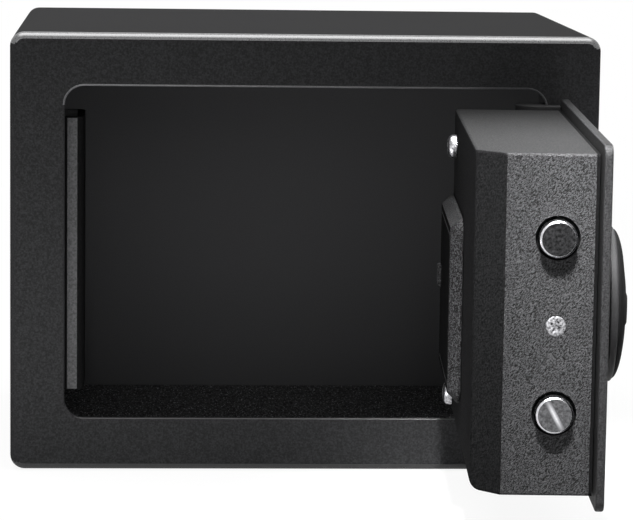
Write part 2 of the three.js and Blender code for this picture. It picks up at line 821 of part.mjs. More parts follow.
// A bent plate: its upstand holds the bolts' tails, and its leaf has two level slots for the
// guide studs and an upright one for the crank pin
function boltCarrier() {
  const x0 = boltTailX + seatGap;
  const leaf = new THREE.Shape();
  leaf.moveTo(x0, middleZ - carrierTallHalf);
  leaf.lineTo(x0 + carrierShoulder, middleZ - carrierTallHalf);
  leaf.lineTo(x0 + carrierShoulder, middleZ - carrierHalfHeight);
  leaf.lineTo(carrierFarX, middleZ - carrierHalfHeight);
  leaf.lineTo(carrierFarX, middleZ + carrierHalfHeight);
  leaf.lineTo(x0 + carrierShoulder, middleZ + carrierHalfHeight);
  leaf.lineTo(x0 + carrierShoulder, middleZ + carrierTallHalf);
  leaf.lineTo(x0, middleZ + carrierTallHalf);
  const leafSolid = slabY(leaf, carrierY, carrierY + carrierSheet);
  const upstand = box(
    x0, x0 + carrierSheet, carrierY, boltY + boltRadius,
    middleZ - carrierTallHalf, middleZ + carrierTallHalf,
  );
  const tenonHoles = [-1, 1].map((side) => rodX(
    tenonRadius + seatGap / 2, x0 - overrun, x0 + overrun, boltY, middleZ + side * boltSpacing / 2,
  ));
  const y0 = carrierY - overrun;
  const y1 = carrierY + overrun;
  const studSlots = [-1, 1].map((side) => slabY(
    slotOutline(studX(), studX() + boltThrow, middleZ + side * studSpacing / 2, studRadius + runGap),
    y0, y1,
  ));
  const crankX = knobX + crankOffset;
  const reach = crankOffset * Math.SQRT2;
  const half = crankPinRadius + crankSlotGap;
  const crankSlot = slabY(
    roundedOutline(
      crankX - half, crankX + half, middleZ + crankOffset - half, middleZ + reach + half, crankPinRadius,
    ),
    y0, y1,
  );
  return piece(
    'bolt_carrier', cut(join(leafSolid, upstand), ...tenonHoles, ...studSlots, crankSlot), materials.zinc,
  );
}

function studX() {
  return nearX + studInset;
}

function guideStud(name, side) {
  const headY = carrierY + carrierSheet + runGap - seatY;
  const stud = turnedY([
    [0, 0], [studRadius, 0], [studRadius, headY], [studHeadRadius, headY],
    [studHeadRadius, headY + studHeadHeight], [0, headY + studHeadHeight],
  ], studX(), seatY, middleZ + side * studSpacing / 2);
  return piece(name, stud, materials.zinc);
}

// Knob and cam

function knobFlange() {
  const boreRadius = knobGrooveRadius / 2;
  const ring = turnedY([
    [boreRadius, 0], [knobFlangeRadius - knobEdge, 0], [knobFlangeRadius, knobEdge / 2],
    [knobFlangeRadius, knobFlangeHeight], [boreRadius, knobFlangeHeight], [boreRadius, 0],
  ], knobX, plateFrontY - seatGap - knobFlangeHeight, middleZ, wideSteps);
  return piece('knob_flange', ring, materials.blackPlastic);
}

// A domed disc on a grooved foot, as high as asked
function knobDisc(top) {
  const base = knobFlangeHeight + knobGroove;
  const dome = [];
  for (let i = 0; i <= domeSteps; i += 1) {
    const share = i / domeSteps;
    const radius = (knobRadius - knobEdge) * Math.cos(quarter * share);
    dome.push([i === domeSteps ? 0 : radius, -knobRim - (top - knobRim) * Math.sin(quarter * share)]);
  }
  return turnedY([
    [0, -base], [knobGrooveRadius, -base], [knobGrooveRadius, -base - knobGroove],
    [knobRadius, -base - knobGroove - knobEdge / 2], [knobRadius, -knobRim + knobEdge / 2], ...dome,
  ], knobX, plateFrontY, middleZ, wideSteps);
}

// Two finger scoops leave a bar across the dome, a little prouder than the rest, over the
// spindle's socket
function turnKnob() {
  const scoops = [-1, 1].map((side) => {
    const z = (gripWidth + scoopWidth) / 2;
    const level = knobRim + (knobDome - knobRim) * Math.sqrt(1 - (z / (knobRadius - knobEdge)) ** 2);
    const scoop = new THREE.SphereGeometry(1, roundSteps, roundSteps / 2);
    scoop.scale(scoopLength / 2, scoopDepth, scoopWidth / 2);
    scoop.translate(knobX, plateFrontY - level, middleZ + side * z);
    return toSolid(scoop);
  });
  const bar = slabY(
    roundedOutline(
      knobX - gripLength / 2, knobX + gripLength / 2, middleZ - gripWidth / 2, middleZ + gripWidth / 2,
      gripWidth / 2 - knobEdge / 4,
    ),
    plateFrontY - gripHeight, plateFrontY - knobRim, keySteps,
  );
  const grip = knobDisc(gripHeight).intersect(bar);
  const socket = rodY(spindleRadius + seatGap, knobX, plateFrontY - knobRim, plateFrontY, middleZ);
  const knob = cut(join(cut(knobDisc(knobDome), ...scoops), grip), socket);
  return piece('turn_knob', knob, materials.blackPlastic);
}

function knobSpindle() {
  const rod = rodY(spindleRadius, knobX, plateFrontY - knobRim + seatGap, crankY1, middleZ);
  return piece('knob_spindle', rod, materials.steel);
}

function camDisc() {
  const disc = rodY(camRadius, knobX, crankY0, crankY1, middleZ);
  const bore = rodY(spindleRadius + seatGap / 2, knobX, crankY0 - overrun, crankY1 + overrun, middleZ);
  const pin = rodY(
    crankPinRadius, knobX + crankOffset, crankY0, carrierY + carrierSheet + pinTail, middleZ + crankOffset,
  );
  return piece('cam_disc', join(cut(disc, bore), pin), materials.zinc);
}

// Solenoid: its plunger stands just over the carrier's top edge while the bolts are in

function solenoidPlace() {
  const x = nearX + solenoidInset;
  const y = carrierY + carrierSheet / 2;
  const tipZ = middleZ + carrierHalfHeight + plungerRestGap;
  return { x, y, tipZ, bottomZ: tipZ + solenoidRise - plungerRestGap };
}

function solenoidBody() {
  const { x, y, bottomZ } = solenoidPlace();
  const topZ = bottomZ + solenoidHeight;
  const frame = box(
    x - solenoidWidth / 2, x + solenoidWidth / 2, seatY, seatY + solenoidDepth, bottomZ, topZ,
  );
  const bore = rodZ(plungerRadius + runGap, x, y, bottomZ - overrun, topZ + overrun);
  return piece('solenoid_body', cut(frame, bore), materials.steel);
}

function solenoidPlunger() {
  const { x, y, tipZ } = solenoidPlace();
  const rod = rodZ(plungerRadius, x, y, tipZ, tipZ + plungerLength);
  const collar = rodZ(collarRadius, x, y, tipZ + collarRise, tipZ + collarRise + collarThickness);
  return piece('solenoid_plunger', join(rod, collar), materials.zinc);
}

// Battery bay

function batteryTray() {
  const z0 = coverMidZ - bayHalfHeight;
  const z1 = coverMidZ + bayHalfHeight;
  const floorY = housingBackY - trayDepth;
  const rimY = housingBackY + seatGap;
  const tub = box(bayX0, bayX1, floorY, rimY + trayFlange, z0, z1);
  const flange = box(
    bayX0 - trayFlangeReach, bayX1 + trayFlangeReach, rimY, rimY + trayFlange,
    z0 + coverWall, z1 - coverWall,
  );
  const hollow = box(
    bayX0 + trayWall, bayX1 - trayWall, floorY + trayWall, rimY + overrun, z0 + trayWall, z1 - trayWall,
  );
  return piece('battery_tray', cut(join(tub, flange), hollow), materials.blackPlastic);
}

function cellPlace(number) {
  const y = housingBackY - trayDepth + trayWall + seatGap + cellRadius;
  const z = coverMidZ + (number - (cellCount + 1) / 2) * cellPitch;
  const x0 = (bayX0 + bayX1) / 2 - (cellLength + cellNubLength) / 2;
  return { x0, y, z };
}

// The cells lie side by side, turned end for end in turn
function batteryCell(number) {
  const { x0, y, z } = cellPlace(number);
  const nubEnd = cellLength + cellNubLength;
  const profile = [
    [0, 0], [cellRadius - cellEdge, 0], [cellRadius, cellEdge], [cellRadius, cellLength - cellEdge],
    [cellRadius - cellEdge, cellLength], [cellNubRadius, cellLength], [cellNubRadius, nubEnd], [0, nubEnd],
  ];
  const geometry = turned(profile);
  geometry.rotateZ(-quarter);
  if (number % 2 === 0) {
    geometry.rotateZ(2 * quarter);
    geometry.translate(nubEnd, 0, 0);
  }
  geometry.translate(x0, y, z);
  return piece(`battery_${number}`, toSolid(geometry), materials.cell);
}

function batteryContact(name, side) {
  const wallX = side < 0 ? bayX0 + trayWall + seatGap : bayX1 - trayWall - seatGap;
  const faceX = wallX - side * contactSheet;
  const { y } = cellPlace(1);
  const half = (cellCount - 1) * cellPitch / 2 + cellNubRadius;
  const strip = box(
    Math.min(wallX, faceX), Math.max(wallX, faceX), y - contactHeight / 2, y + contactHeight / 2,
    coverMidZ - half, coverMidZ + half,
  );
  const bumps = [];
  for (let number = 1; number <= cellCount; number += 1) {
    const place = cellPlace(number);
    const endX = side < 0 ? place.x0 - seatGap : place.x0 + cellLength + cellNubLength + seatGap;
    bumps.push(
      rodX(contactBumpRadius, Math.min(wallX, endX), Math.max(wallX, endX), place.y, place.z, fewSteps),
    );
  }
  return piece(name, join(strip, ...bumps), materials.zinc);
}

// A shallow moulded lid with a finger tab near its free end
function batteryCover() {
  const y0 = housingBackY + seatGap;
  const y1 = housingBackY + coverRaise;
  const half = coverHeight / 2;
  const outline = (wall, corner) => roundedOutline(
    coverX0 + wall, coverX1 - wall, coverMidZ - half + wall, coverMidZ + half - wall, corner,
  );
  const block = chamferedBack(outline(0, coverCorner), y0, y1, coverBevel);
  const hollow = chamferedBack(
    outline(coverWall, coverCorner - coverWall), y0 - overrun, y1 - coverWall, coverInnerBevel,
  );
  const tabX1 = coverX1 - tabInset;
  const tab = box(
    tabX1 - tabLength, tabX1, y1 - coverWall / 2, y1 + tabRaise,
    coverMidZ + tabLift - tabHeight / 2, coverMidZ + tabLift + tabHeight / 2,
  );
  return piece('battery_cover', join(cut(block, hollow), tab), materials.blackPlastic);
}

// Keypad and key lock

function ledPlaces() {
  return [-1, 1].map((side) => [keypadX + side * ledSpacing / 2, middleZ + ledRise]);
}

function keyPlaces() {
  const places = [];
  for (let row = 0; row < keyRows; row += 1) {
    for (let column = 0; column < keyColumns; column += 1) {
      places.push([
        keypadX + (column - (keyColumns - 1) / 2) * keyPitchX,
        keyMidZ + ((keyRows - 1) / 2 - row) * keyPitchZ,
      ]);
    }
  }
  return places;
}

function keyOutline(x, z, grow) {
  const halfX = keyWidth / 2 + grow;
  const halfZ = keyHeight / 2 + grow;
  return roundedOutline(x - halfX, x + halfX, z - halfZ, z + halfZ, keyCorner);
}

function keypadBezel() {
  const halfX = keypadWidth / 2;
  const halfZ = keypadHeight / 2;
  const shell = softSlabY(
    roundedOutline(keypadX - halfX, keypadX + halfX, middleZ - halfZ, middleZ + halfZ, keypadCorner),
    bezelFrontY, plateFrontY - seatGap, keypadBevel, cornerSteps, keySteps,
  );
  const hollow = slabY(
    roundedOutline(
      keypadX - halfX + keypadWall, keypadX + halfX - keypadWall, middleZ - halfZ + keypadWall,
      middleZ + halfZ - keypadWall, keypadCorner - keypadWall,
    ),
    bezelInnerY, plateFrontY + overrun,
  );
  const y0 = bezelFrontY - overrun;
  const y1 = bezelInnerY + overrun;
  const keyHoles = keyPlaces().map(([x, z]) => slabY(keyOutline(x, z, runGap), y0, y1, keySteps));
  const ledHoles = ledPlaces().map(([x, z]) => rodY(ledRadius + runGap / 2, x, y0, y1, z));
  const lockHole = rodY(lockRadius - lockFloor, keypadX, y0, y1, lockZ);
  const boss = rodY(
    flapPivotRadius, keypadX, bezelFrontY - flapThickness - runGap, bezelInnerY - keypadWall / 2,
    flapPivotZ,
  );
  const cutShell = cut(shell, hollow, ...keyHoles, ...ledHoles, lockHole);
  return piece('keypad_bezel', join(cutShell, boss), materials.blackPlastic);
}

function key(name, [x, z]) {
  const capY = bezelFrontY - keyProud;
  const flangeY = bezelInnerY + runGap;
  const stemY = boardY - boardGap - keyTravel;
  const cap = softSlabY(keyOutline(x, z, 0), capY, flangeY, keyBevel, keySteps, 1);
  const flange = slabY(keyOutline(x, z, keyFlange), flangeY, flangeY + keyFlangeThickness, 1);
  const half = keyStem / 2;
  const stem = box(x - half, x + half, flangeY, stemY, z - half, z + half);
  return piece(name, join(cap, flange, stem), materials.keyPlastic);
}

// Notched round the housing's upper post
function keypadBoard() {
  const halfX = keyPitchX * (keyColumns - 1) / 2 + keyWidth / 2 + windowMargin + boardMargin;
  const z0 = keyMidZ - keyPitchZ * (keyRows - 1) / 2 - keyHeight / 2 - windowMargin - boardMargin;
  const z1 = middleZ + ledRise + ledRadius + boardMargin;
  const board = box(keypadX - halfX, keypadX + halfX, boardY, boardY + boardThickness, z0, z1);
  const notch = rodY(
    postRadius + runGap, postX, boardY - overrun, boardY + boardThickness + overrun, postZ(1),
  );
  return piece('keypad_board', cut(board, notch), materials.board);
}

function ledLens(name, [x, z], material) {
  const length = boardY - seatGap - bezelFrontY + ledProud;
  const dome = ledDomeShares.map(([across, up]) => [ledRadius * across, ledProud * up]);
  const lens = turnedY([...dome, [ledRadius, length], [0, length]], x, bezelFrontY - ledProud, z);
  return piece(name, lens, material);
}

function keyLockBody() {
  const y0 = bezelInnerY + seatGap;
  const y1 = y0 + lockLength;
  const barrel = rodY(lockRadius, keypadX, y0, y1, lockZ);
  const bore = rodY(lockBoreRadius, keypadX, y0 - overrun, y1 - lockFloor, lockZ);
  return piece('key_lock_body', cut(barrel, bore), materials.zinc);
}

function keyCylinder() {
  const y0 = bezelInnerY;
  const plug = rodY(lockBoreRadius - runGap, keypadX, y0, y0 + lockLength - lockFloor, lockZ);
  const keyway = box(
    keypadX - keywayWidth / 2, keypadX + keywayWidth / 2, y0 - overrun, y0 + keywayDepth,
    lockZ - keywayHeight / 2, lockZ + keywayHeight / 2,
  );
  return piece('key_cylinder', cut(plug, keyway), materials.brass);
}

// A drop-shaped flap that hangs over the keyhole from a boss on the bezel
function keyFlap() {
  const rise = flapPivotRise;
  const lean = Math.asin((flapRadius - flapEarRadius) / rise);
  const outline = new THREE.Shape();
  outline.absarc(keypadX, lockZ, flapRadius, 2 * quarter - lean, 4 * quarter + lean, false);
  outline.absarc(keypadX, flapPivotZ, flapEarRadius, lean, 2 * quarter - lean, false);
  const y1 = bezelFrontY - runGap;
  const flap = slabY(outline, y1 - flapThickness, y1, fewSteps);
  const hole = rodY(flapPivotRadius + runGap, keypadX, y1 - overrun, y1 + overrun, flapPivotZ);
  return piece('key_flap', cut(flap, hole), materials.blackPlastic);
}

// Assembly

const keyNames = ['1', '2', '3', '4', '5', '6', '7', '8', '9', 'clear', '0', 'enter'];
const safe = new THREE.Group();
safe.add(bodyShell(), backPlate(), floorMat(), strikeChannel());

const door = new THREE.Group();
door.position.set(pinX, pinY, 0);
door.rotation.z = THREE.MathUtils.degToRad(openAngle);
safe.add(door);

const leaf = new THREE.Group();
leaf.position.set(-pinX, -pinY, 0);
door.add(leaf);

for (const [place, side] of [['upper', 1], ['lower', -1]]) {
  safe.add(hingeBracket(`hinge_bracket_${place}`, side));
  safe.add(hingePin(`hinge_pin_${place}`, side));
  safe.add(hingeWasher(`hinge_washer_${place}`, side));
  leaf.add(hingeArm(`hinge_arm_${place}`, side));
  leaf.add(housingPost(`housing_post_${place}`, side));
  leaf.add(housingScrew(`housing_screw_${place}`, side));
  leaf.add(bolt(`bolt_${place}`, side));
  leaf.add(guideStud(`guide_stud_${place}`, side));
}

leaf.add(doorPlate(), lockHousing(), edgeScrew(), boltGuide(), boltCarrier());
leaf.add(knobFlange(), turnKnob(), knobSpindle(), camDisc());
leaf.add(solenoidBody(), solenoidPlunger());
leaf.add(batteryTray());
leaf.add(batteryContact('battery_contact_near', -1), batteryContact('battery_contact_far', 1));
for (let number = 1; number <= cellCount; number += 1) leaf.add(batteryCell(number));
leaf.add(batteryCover());
leaf.add(keypadBezel(), keypadBoard(), keyLockBody(), keyCylinder(), keyFlap());
keyPlaces().forEach((place, i) => leaf.add(key(`key_${keyNames[i]}`, place)));
leaf.add(ledLens('led_lens_red', ledPlaces()[0], materials.redLens));
leaf.add(ledLens('led_lens_green', ledPlaces()[1], materials.greenLens));

export default safe;
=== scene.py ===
import json
import math
import bmesh
import bpy
import numpy as np
from mathutils import Matrix, Vector


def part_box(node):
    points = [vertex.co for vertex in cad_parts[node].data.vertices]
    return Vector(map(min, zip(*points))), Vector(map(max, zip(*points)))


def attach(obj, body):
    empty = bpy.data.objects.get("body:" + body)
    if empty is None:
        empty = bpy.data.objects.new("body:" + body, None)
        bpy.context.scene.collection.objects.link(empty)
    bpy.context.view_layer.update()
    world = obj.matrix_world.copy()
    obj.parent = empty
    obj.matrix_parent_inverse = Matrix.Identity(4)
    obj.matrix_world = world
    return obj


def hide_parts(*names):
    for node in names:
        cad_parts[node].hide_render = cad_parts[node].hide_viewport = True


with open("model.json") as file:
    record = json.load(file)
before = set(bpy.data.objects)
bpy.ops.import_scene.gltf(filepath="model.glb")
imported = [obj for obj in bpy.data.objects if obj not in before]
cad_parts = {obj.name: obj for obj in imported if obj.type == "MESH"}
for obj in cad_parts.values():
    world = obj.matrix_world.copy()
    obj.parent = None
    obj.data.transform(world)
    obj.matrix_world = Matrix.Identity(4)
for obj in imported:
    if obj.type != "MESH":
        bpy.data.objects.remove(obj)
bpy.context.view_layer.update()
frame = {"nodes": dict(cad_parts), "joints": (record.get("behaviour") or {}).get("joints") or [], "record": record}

nodes = frame["nodes"]

# The camera. It stands where the photograph was taken from: about 1.2 m in front of the case, a
# little to its left and 8 degrees above level, with a long lens. It was found by fitting the
# case's edges and the open door's edges to their lines in the picture.


def put(name, data):
    """Puts a new object into the scene."""
    made = bpy.data.objects.new(name, data)
    bpy.context.collection.objects.link(made)
    return made


eye = np.array([-62.44, -1241.21, 246.46]) / 1000
yaw, pitch, roll = 0.05813, 0.13945, 0.01366
focal_pixels, picture_width, sensor = 2985.5, 634, 36
ahead = np.array([math.sin(yaw) * math.cos(pitch), math.cos(yaw) * math.cos(pitch), -math.sin(pitch)])
level = np.array([math.cos(yaw), -math.sin(yaw), 0])
upright = np.cross(level, ahead)
right = math.cos(roll) * level + math.sin(roll) * upright
above = -math.sin(roll) * level + math.cos(roll) * upright
camera = put("camera", bpy.data.cameras.new("camera"))
camera.data.sensor_width = sensor
camera.data.lens = focal_pixels * sensor / picture_width
camera.data.clip_start, camera.data.clip_end = 0.05, 20
turn = Matrix(np.column_stack([right, above, -ahead]).tolist()).to_4x4()
camera.matrix_world = Matrix.Translation(Vector(eye)) @ turn
bpy.context.scene.camera = camera
bpy.context.scene.view_settings.view_transform = "Standard"

# The case: one welded shell of 2 mm sheet steel, with the front frame turned round a 3 mm bend and
# a mouth cut in it. A stack of rounded rectangles goes round the outside, over the front, through
# the mouth and back inside. Black powder coat, smooth at the foot. The upper lip and the top front
# bend are painted paler as painted highlights, and the inside paler as painted light.

hinge = next(joint for joint in frame["joints"] if joint["name"] == "door_hinge")
pin_place = np.array(hinge["pos_m"][:2]) * 1000
open_angle = math.radians(-hinge["range_deg"][0])
case_nodes = frame["record"]["behaviour"]["bodies"]["case"]


def turned_about_pins(points, angle):
    """Turns points in X and Y about the hinge pins: p + R(angle) (q - p)."""
    c, s = math.cos(angle), math.sin(angle)
    x, y = points[:, 0] - pin_place[0], points[:, 1] - pin_place[1]
    return np.stack([pin_place[0] + c * x - s * y, pin_place[1] + s * x + c * y, points[:, 2]], axis=-1)


def corners(piece):
    """All points of a piece, in millimetres."""
    points = np.empty(3 * len(piece.data.vertices))
    piece.data.vertices.foreach_get("co", points)
    return points.reshape(-1, 3) * 1000


def span(name):
    """A node's x0, x1, y0, y1, z0, z1 in millimetres, with the door's nodes turned shut."""
    points = corners(nodes[name])
    if name not in case_nodes:
        points = turned_about_pins(points, -open_angle)
    return np.stack([points.min(axis=0), points.max(axis=0)], axis=-1).ravel().tolist()


def rectangle(x0, x1, z0, z1, radius, y, steps):
    """A rounded rectangle at one Y: each corner is its centre plus radius times (cos, sin)."""
    quarter = np.linspace(0, math.pi / 2, steps + 1)
    angle = quarter[None, :] + math.pi / 2 * np.arange(4)[:, None]
    across = np.array([x1 - radius, x0 + radius, x0 + radius, x1 - radius])[:, None]
    up = np.array([z1 - radius, z1 - radius, z0 + radius, z0 + radius])[:, None]
    x = across + radius * np.cos(angle)
    z = up + radius * np.sin(angle)
    return np.stack([x, np.full_like(x, y), z], axis=-1).reshape(-1, 3)


def inward(box, radius, places, steps=7):
    """Rounded rectangles within a box of (x0, x1, z0, z1), one for each (inset, y)."""
    x0, x1, z0, z1 = box
    least = 0.25
    return [
        rectangle(x0 + i, x1 - i, z0 + i, z1 - i, max(radius - i, least), y, steps) for i, y in places
    ]


def bend(inset, y0, y1, steps=6):
    """A quarter turn from a side to a face: pairs of inset = r (1 - cos a), depth y0 + d sin a."""
    angle = np.linspace(0, math.pi / 2, steps + 1)
    return list(zip(inset * (1 - np.cos(angle)), y0 + (y1 - y0) * np.sin(angle)))


def numbered(grid, first=0):
    """Numbers a grid's points row by row."""
    return first + np.arange(grid.shape[0] * grid.shape[1]).reshape(grid.shape[:2])


def quads(number, ring_rows=False, ring_columns=True):
    """The quads of a grid of numbered points; its rows or columns may close to rings."""
    if ring_rows:
        number = np.vstack([number, number[:1]])
    if ring_columns:
        number = np.hstack([number, number[:, :1]])
    corner = [number[:-1, :-1], number[:-1, 1:], number[1:, 1:], number[1:, :-1]]
    return np.stack(corner, axis=-1).reshape(-1, 4).tolist()


def face_outwards(piece):
    """Merges a piece's doubled points and turns its faces outward."""
    shape = bmesh.new()
    shape.from_mesh(piece.data)
    bmesh.ops.remove_doubles(shape, verts=shape.verts, dist=1e-7)
    bmesh.ops.recalc_face_normals(shape, faces=shape.faces)
    shape.to_mesh(piece.data)
    shape.free()


def solid(name, points, faces):
    """A closed piece of points in millimetres."""
    mesh = bpy.data.meshes.new(name)
    mesh.from_pydata((np.asarray(points, float).reshape(-1, 3) / 1000).tolist(), [], faces)
    piece = put(name, mesh)
    face_outwards(piece)
    return piece


def skin(name, loops, ring=False):
    """Joins each loop to the next by quads; the ends are closed by a cap, or to each other."""
    loops = np.array(loops, dtype=float)
    number = numbered(loops)
    ends = [] if ring else [number[0][::-1].tolist(), number[-1].tolist()]
    return solid(name, loops, quads(number, ring) + ends)


def around(axis, steps):
    """A unit circle round an axis: cos(a) times one square direction plus sin(a) times the other."""
    axis = np.array(axis, float) / np.linalg.norm(axis)
    side = np.cross(axis, [0.0, 0.0, 1.0] if abs(axis[2]) < 0.9 else [1.0, 0.0, 0.0])
    side /= np.linalg.norm(side)
    angle = np.linspace(0, 2 * math.pi, steps, endpoint=False)[:, None]
    return np.cos(angle) * side + np.sin(angle) * np.cross(axis, side)


def hole(radius, place, ends, axis=1, steps=40, tip=None):
    """A cutting tool: a circle carried along an axis, of another radius at its end if given."""
    start, end = [np.insert(np.array(place, float), axis, along) for along in ends]
    circle = around(end - start, steps)
    return skin("tool", [start + radius * circle, end + (tip or radius) * circle])


def plain_mesh(piece):
    """A new mesh of a piece as its modifiers leave it."""
    graph = bpy.context.evaluated_depsgraph_get()
    return bpy.data.meshes.new_from_object(piece.evaluated_get(graph))


def bake_down(piece):
    """Turns the piece's modifiers into plain mesh."""
    mesh = plain_mesh(piece)
    piece.modifiers.clear()
    piece.data = mesh


def cut(piece, *tools):
    """Takes the tools away from the piece."""
    for tool in tools:
        modifier = piece.modifiers.new("cut", "BOOLEAN")
        modifier.operation, modifier.solver, modifier.object = "DIFFERENCE", "EXACT", tool
        bake_down(piece)
        bpy.data.objects.remove(tool)


def faces_of(piece):
    """The centres in millimetres and the normals of a piece's faces, each as rows X, Y and Z."""
    count = len(piece.data.polygons)
    centre, normal = np.empty(3 * count), np.empty(3 * count)
    piece.data.polygons.foreach_get("center", centre)
    piece.data.polygons.foreach_get("normal", normal)
    return centre.reshape(-1, 3).T * 1000, normal.reshape(-1, 3).T


def paint_faces(piece, kind):
    """Gives each face the number of its finish."""
    piece.data.polygons.foreach_set("material_index", np.asarray(kind).astype(np.int32))


def fit(piece, node, body, slot, *finishes, sharp=38):
    """Gives a piece its body, finishes and shading, which is smooth up to edges sharper than the angle,
    and hides the model's own part for the node that it stands for, if any. The slot is not used. The
    door's pieces are drawn in the shut door's place, and turned about the pins to the open one here."""
    mesh = piece.data
    if body != "case":
        opened = turned_about_pins(corners(piece), open_angle)
        mesh.vertices.foreach_set("co", (opened / 1000).ravel())
        mesh.update()
    if sharp:
        mesh.polygons.foreach_set("use_smooth", np.ones(len(mesh.polygons), dtype=bool))
        mesh.set_sharp_from_angle(angle=math.radians(sharp))
        piece.modifiers.new("flat faces", "WEIGHTED_NORMAL").keep_sharp = True
    for finish in finishes:
        mesh.materials.append(finish)
    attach(piece, body)
    if node:
        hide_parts(node)


def add(tree, kind, inputs=None, **settings):
    """Adds a node; each input gets either a value or another node's output."""
    made = tree.nodes.new(kind)
    for name, value in settings.items():
        setattr(made, name, value)
    for name, value in (inputs or {}).items():
        if isinstance(value, bpy.types.NodeSocket):
            tree.links.new(value, made.inputs[name])
        else:
            made.inputs[name].default_value = value
    return made


def blank(name, colour, roughness, metallic=0.0, specular=0.5):
    """A new finish with its shader's plain values: (material, shader, place on it)."""
    finish = bpy.data.materials.new(name)
    finish.use_nodes = True
    shader = finish.node_tree.nodes["Principled BSDF"]
    shader.inputs["Base Color"].default_value = (*colour, 1)
    shader.inputs["Roughness"].default_value = roughness
    shader.inputs["Metallic"].default_value = metallic
    shader.inputs["Specular IOR Level"].default_value = specular
    return finish, shader, add(finish.node_tree, "ShaderNodeTexCoord").outputs["Object"]


def noise(place, size, detail=3.0, rough=0.5):
    """Cloudy noise whose blobs are about size millimetres across."""
    return add(place.id_data, "ShaderNodeTexNoise", {
        "Vector": place, "Scale": 1000 / size, "Detail": detail, "Roughness": rough,
    }).outputs["Fac"]


def spread(value, low, high, dark, light):
    """Maps low..high of a value onto dark..light."""
    return add(value.id_data, "ShaderNodeMapRange", {
        "Value": value, "From Min": low, "From Max": high, "To Min": dark, "To Max": light,
    }).outputs["Result"]


def mixed(share, *ends):
    """Two colours, given or from a node, mixed by a share from 0 to 1."""
    dark, light = [end if isinstance(end, bpy.types.NodeSocket) else (*end, 1) for end in ends]
    return add(share.id_data, "ShaderNodeMix", {0: share, 6: dark, 7: light}, data_type="RGBA").outputs[2]


def grey(value):
    """A nearly neutral colour, a touch cooler than grey."""
    return (value, value, 1.04 * value)


def bump(height, depth, strength=1.0, under=None):
    """Bumps depth millimetres deep; under is a coarser bump that they lie on."""
    inputs = {"Height": height, "Distance": depth / 1000, "Strength": strength}
    if under:
        inputs["Normal"] = under
    return add(height.id_data, "ShaderNodeBump", inputs).outputs["Normal"]


def textured(shader, pattern, share, colours, roughness, relief):
    """Lets a pattern steer a shader: its colour over the share's range, its roughness over the
    pattern's middle, and its bumps."""
    colour = mixed(spread(pattern, *share, 0, 1), *colours)
    link = shader.id_data.links.new
    link(colour, shader.inputs["Base Color"])
    if roughness:
        link(spread(pattern, 0.3, 0.7, *roughness), shader.inputs["Roughness"])
    link(bump(pattern, *relief), shader.inputs["Normal"])
    return colour


def powder_coat(name, dark, light, grain, depth, roughness, specular):
    """Baked powder: small rounded grains over a slow ripple, a little lighter and duller on top."""
    finish, shader, place = blank(name, grey(light), roughness, specular=specular)
    grains = noise(place, grain, 2.0, 0.55)
    slow = bump(noise(place, 9 * grain, 1.0), 3 * depth, 0.5)
    textured(shader, grains, (0.35, 0.68), (grey(dark), grey(light)),
             (roughness - 0.05, roughness + 0.07), (depth, 0.9, slow))
    return finish


outer_coat = powder_coat("case powder coat", 0.0075, 0.0175, 0.7, 0.03, 0.82, 0.05)
# The inside is painted several times paler than the outside: painted light.
lit_inner_coat = powder_coat("inner coat painted lighter", 0.041, 0.049, 0.5, 0.01, 0.75, 0.1)
# The upper lip is painted paler: a painted highlight.
lip_highlight_coat = powder_coat("painted lip highlight", 0.038, 0.065, 0.5, 0.01, 0.5, 0.3)
# The top front bend is painted paler and made glossier: a painted highlight.
bend_highlight_coat = powder_coat("painted bend highlight", 0.03, 0.05, 0.6, 0.01, 0.3, 1.0)
foot_coat = powder_coat("smooth foot bend", 0.008, 0.016, 0.6, 0.02, 0.5, 0.35)
bend_highlight_shader = bend_highlight_coat.node_tree.nodes["Principled BSDF"]
bend_highlight_shader.inputs["Coat Weight"].default_value = 0.5
bend_highlight_shader.inputs["Coat Roughness"].default_value = 0.22

sheet, corner_bend, front_bend, lip, rim, burr, near = 2.0, 5.5, 3.0, 0.8, 0.6, 0.3, 0.05
case_x0, case_x1, case_front, case_back, case_z0, case_z1 = span("body_shell")
case_outline = (case_x0, case_x1, case_z0, case_z1)
border_side, border_foot, border_head, mouth_corner = 21.25, 20.9, 20.6, 7.5
mouth = (case_x0 + border_side, case_x1 - border_side, case_z0 + border_foot, case_z1 - border_head)
front_inside = case_front + sheet
over_front = [(0, case_back), (0, case_back - rim), *bend(front_bend, case_front + front_bend, case_front, 8)]
through_mouth = [
    (-3 * lip, case_front), *bend(-lip, case_front + lip, case_front, 5)[::-1],
    (0, front_inside - burr), (-burr, front_inside),
]
along_inside = [(sheet, y) for y in (front_inside, front_inside + rim, case_back - rim, case_back)]
shell_loops = inward(case_outline, corner_bend, over_front) + inward(mouth, mouth_corner, through_mouth)
shell = skin("case_shell", shell_loops + inward(case_outline, corner_bend, along_inside), ring=True)
fixing_x, fixing_radius, overrun = 60, 4.2, 5
cut(shell, *[
    hole(fixing_radius, (x, 0), (case_z0 - overrun, case_z0 + 2 * sheet), 2) for x in (-fixing_x, fixing_x)
])
(x, y, z), facing = faces_of(shell)
within = (abs(x) < case_x1 - sheet + near) & (z > case_z0 + sheet - near)
within &= (z < case_z1 - sheet + near) & (y > front_inside - near)
past_x = np.clip(abs(x) - (mouth[1] - mouth_corner), 0, None)
past_z = abs(z - (mouth[2] + mouth[3]) / 2) - ((mouth[3] - mouth[2]) / 2 - mouth_corner)
on_lip = np.hypot(past_x, np.clip(past_z, 0, None)) < mouth_corner + 0.9 * lip
on_lip &= y < front_inside - 2 * near
low_lip = on_lip & (z < mouth[2] + lip / 4) & (abs(facing[2] - 0.5) < 0.3)
on_lip &= z > mouth[3] - mouth_corner
bent = y < case_front + front_bend
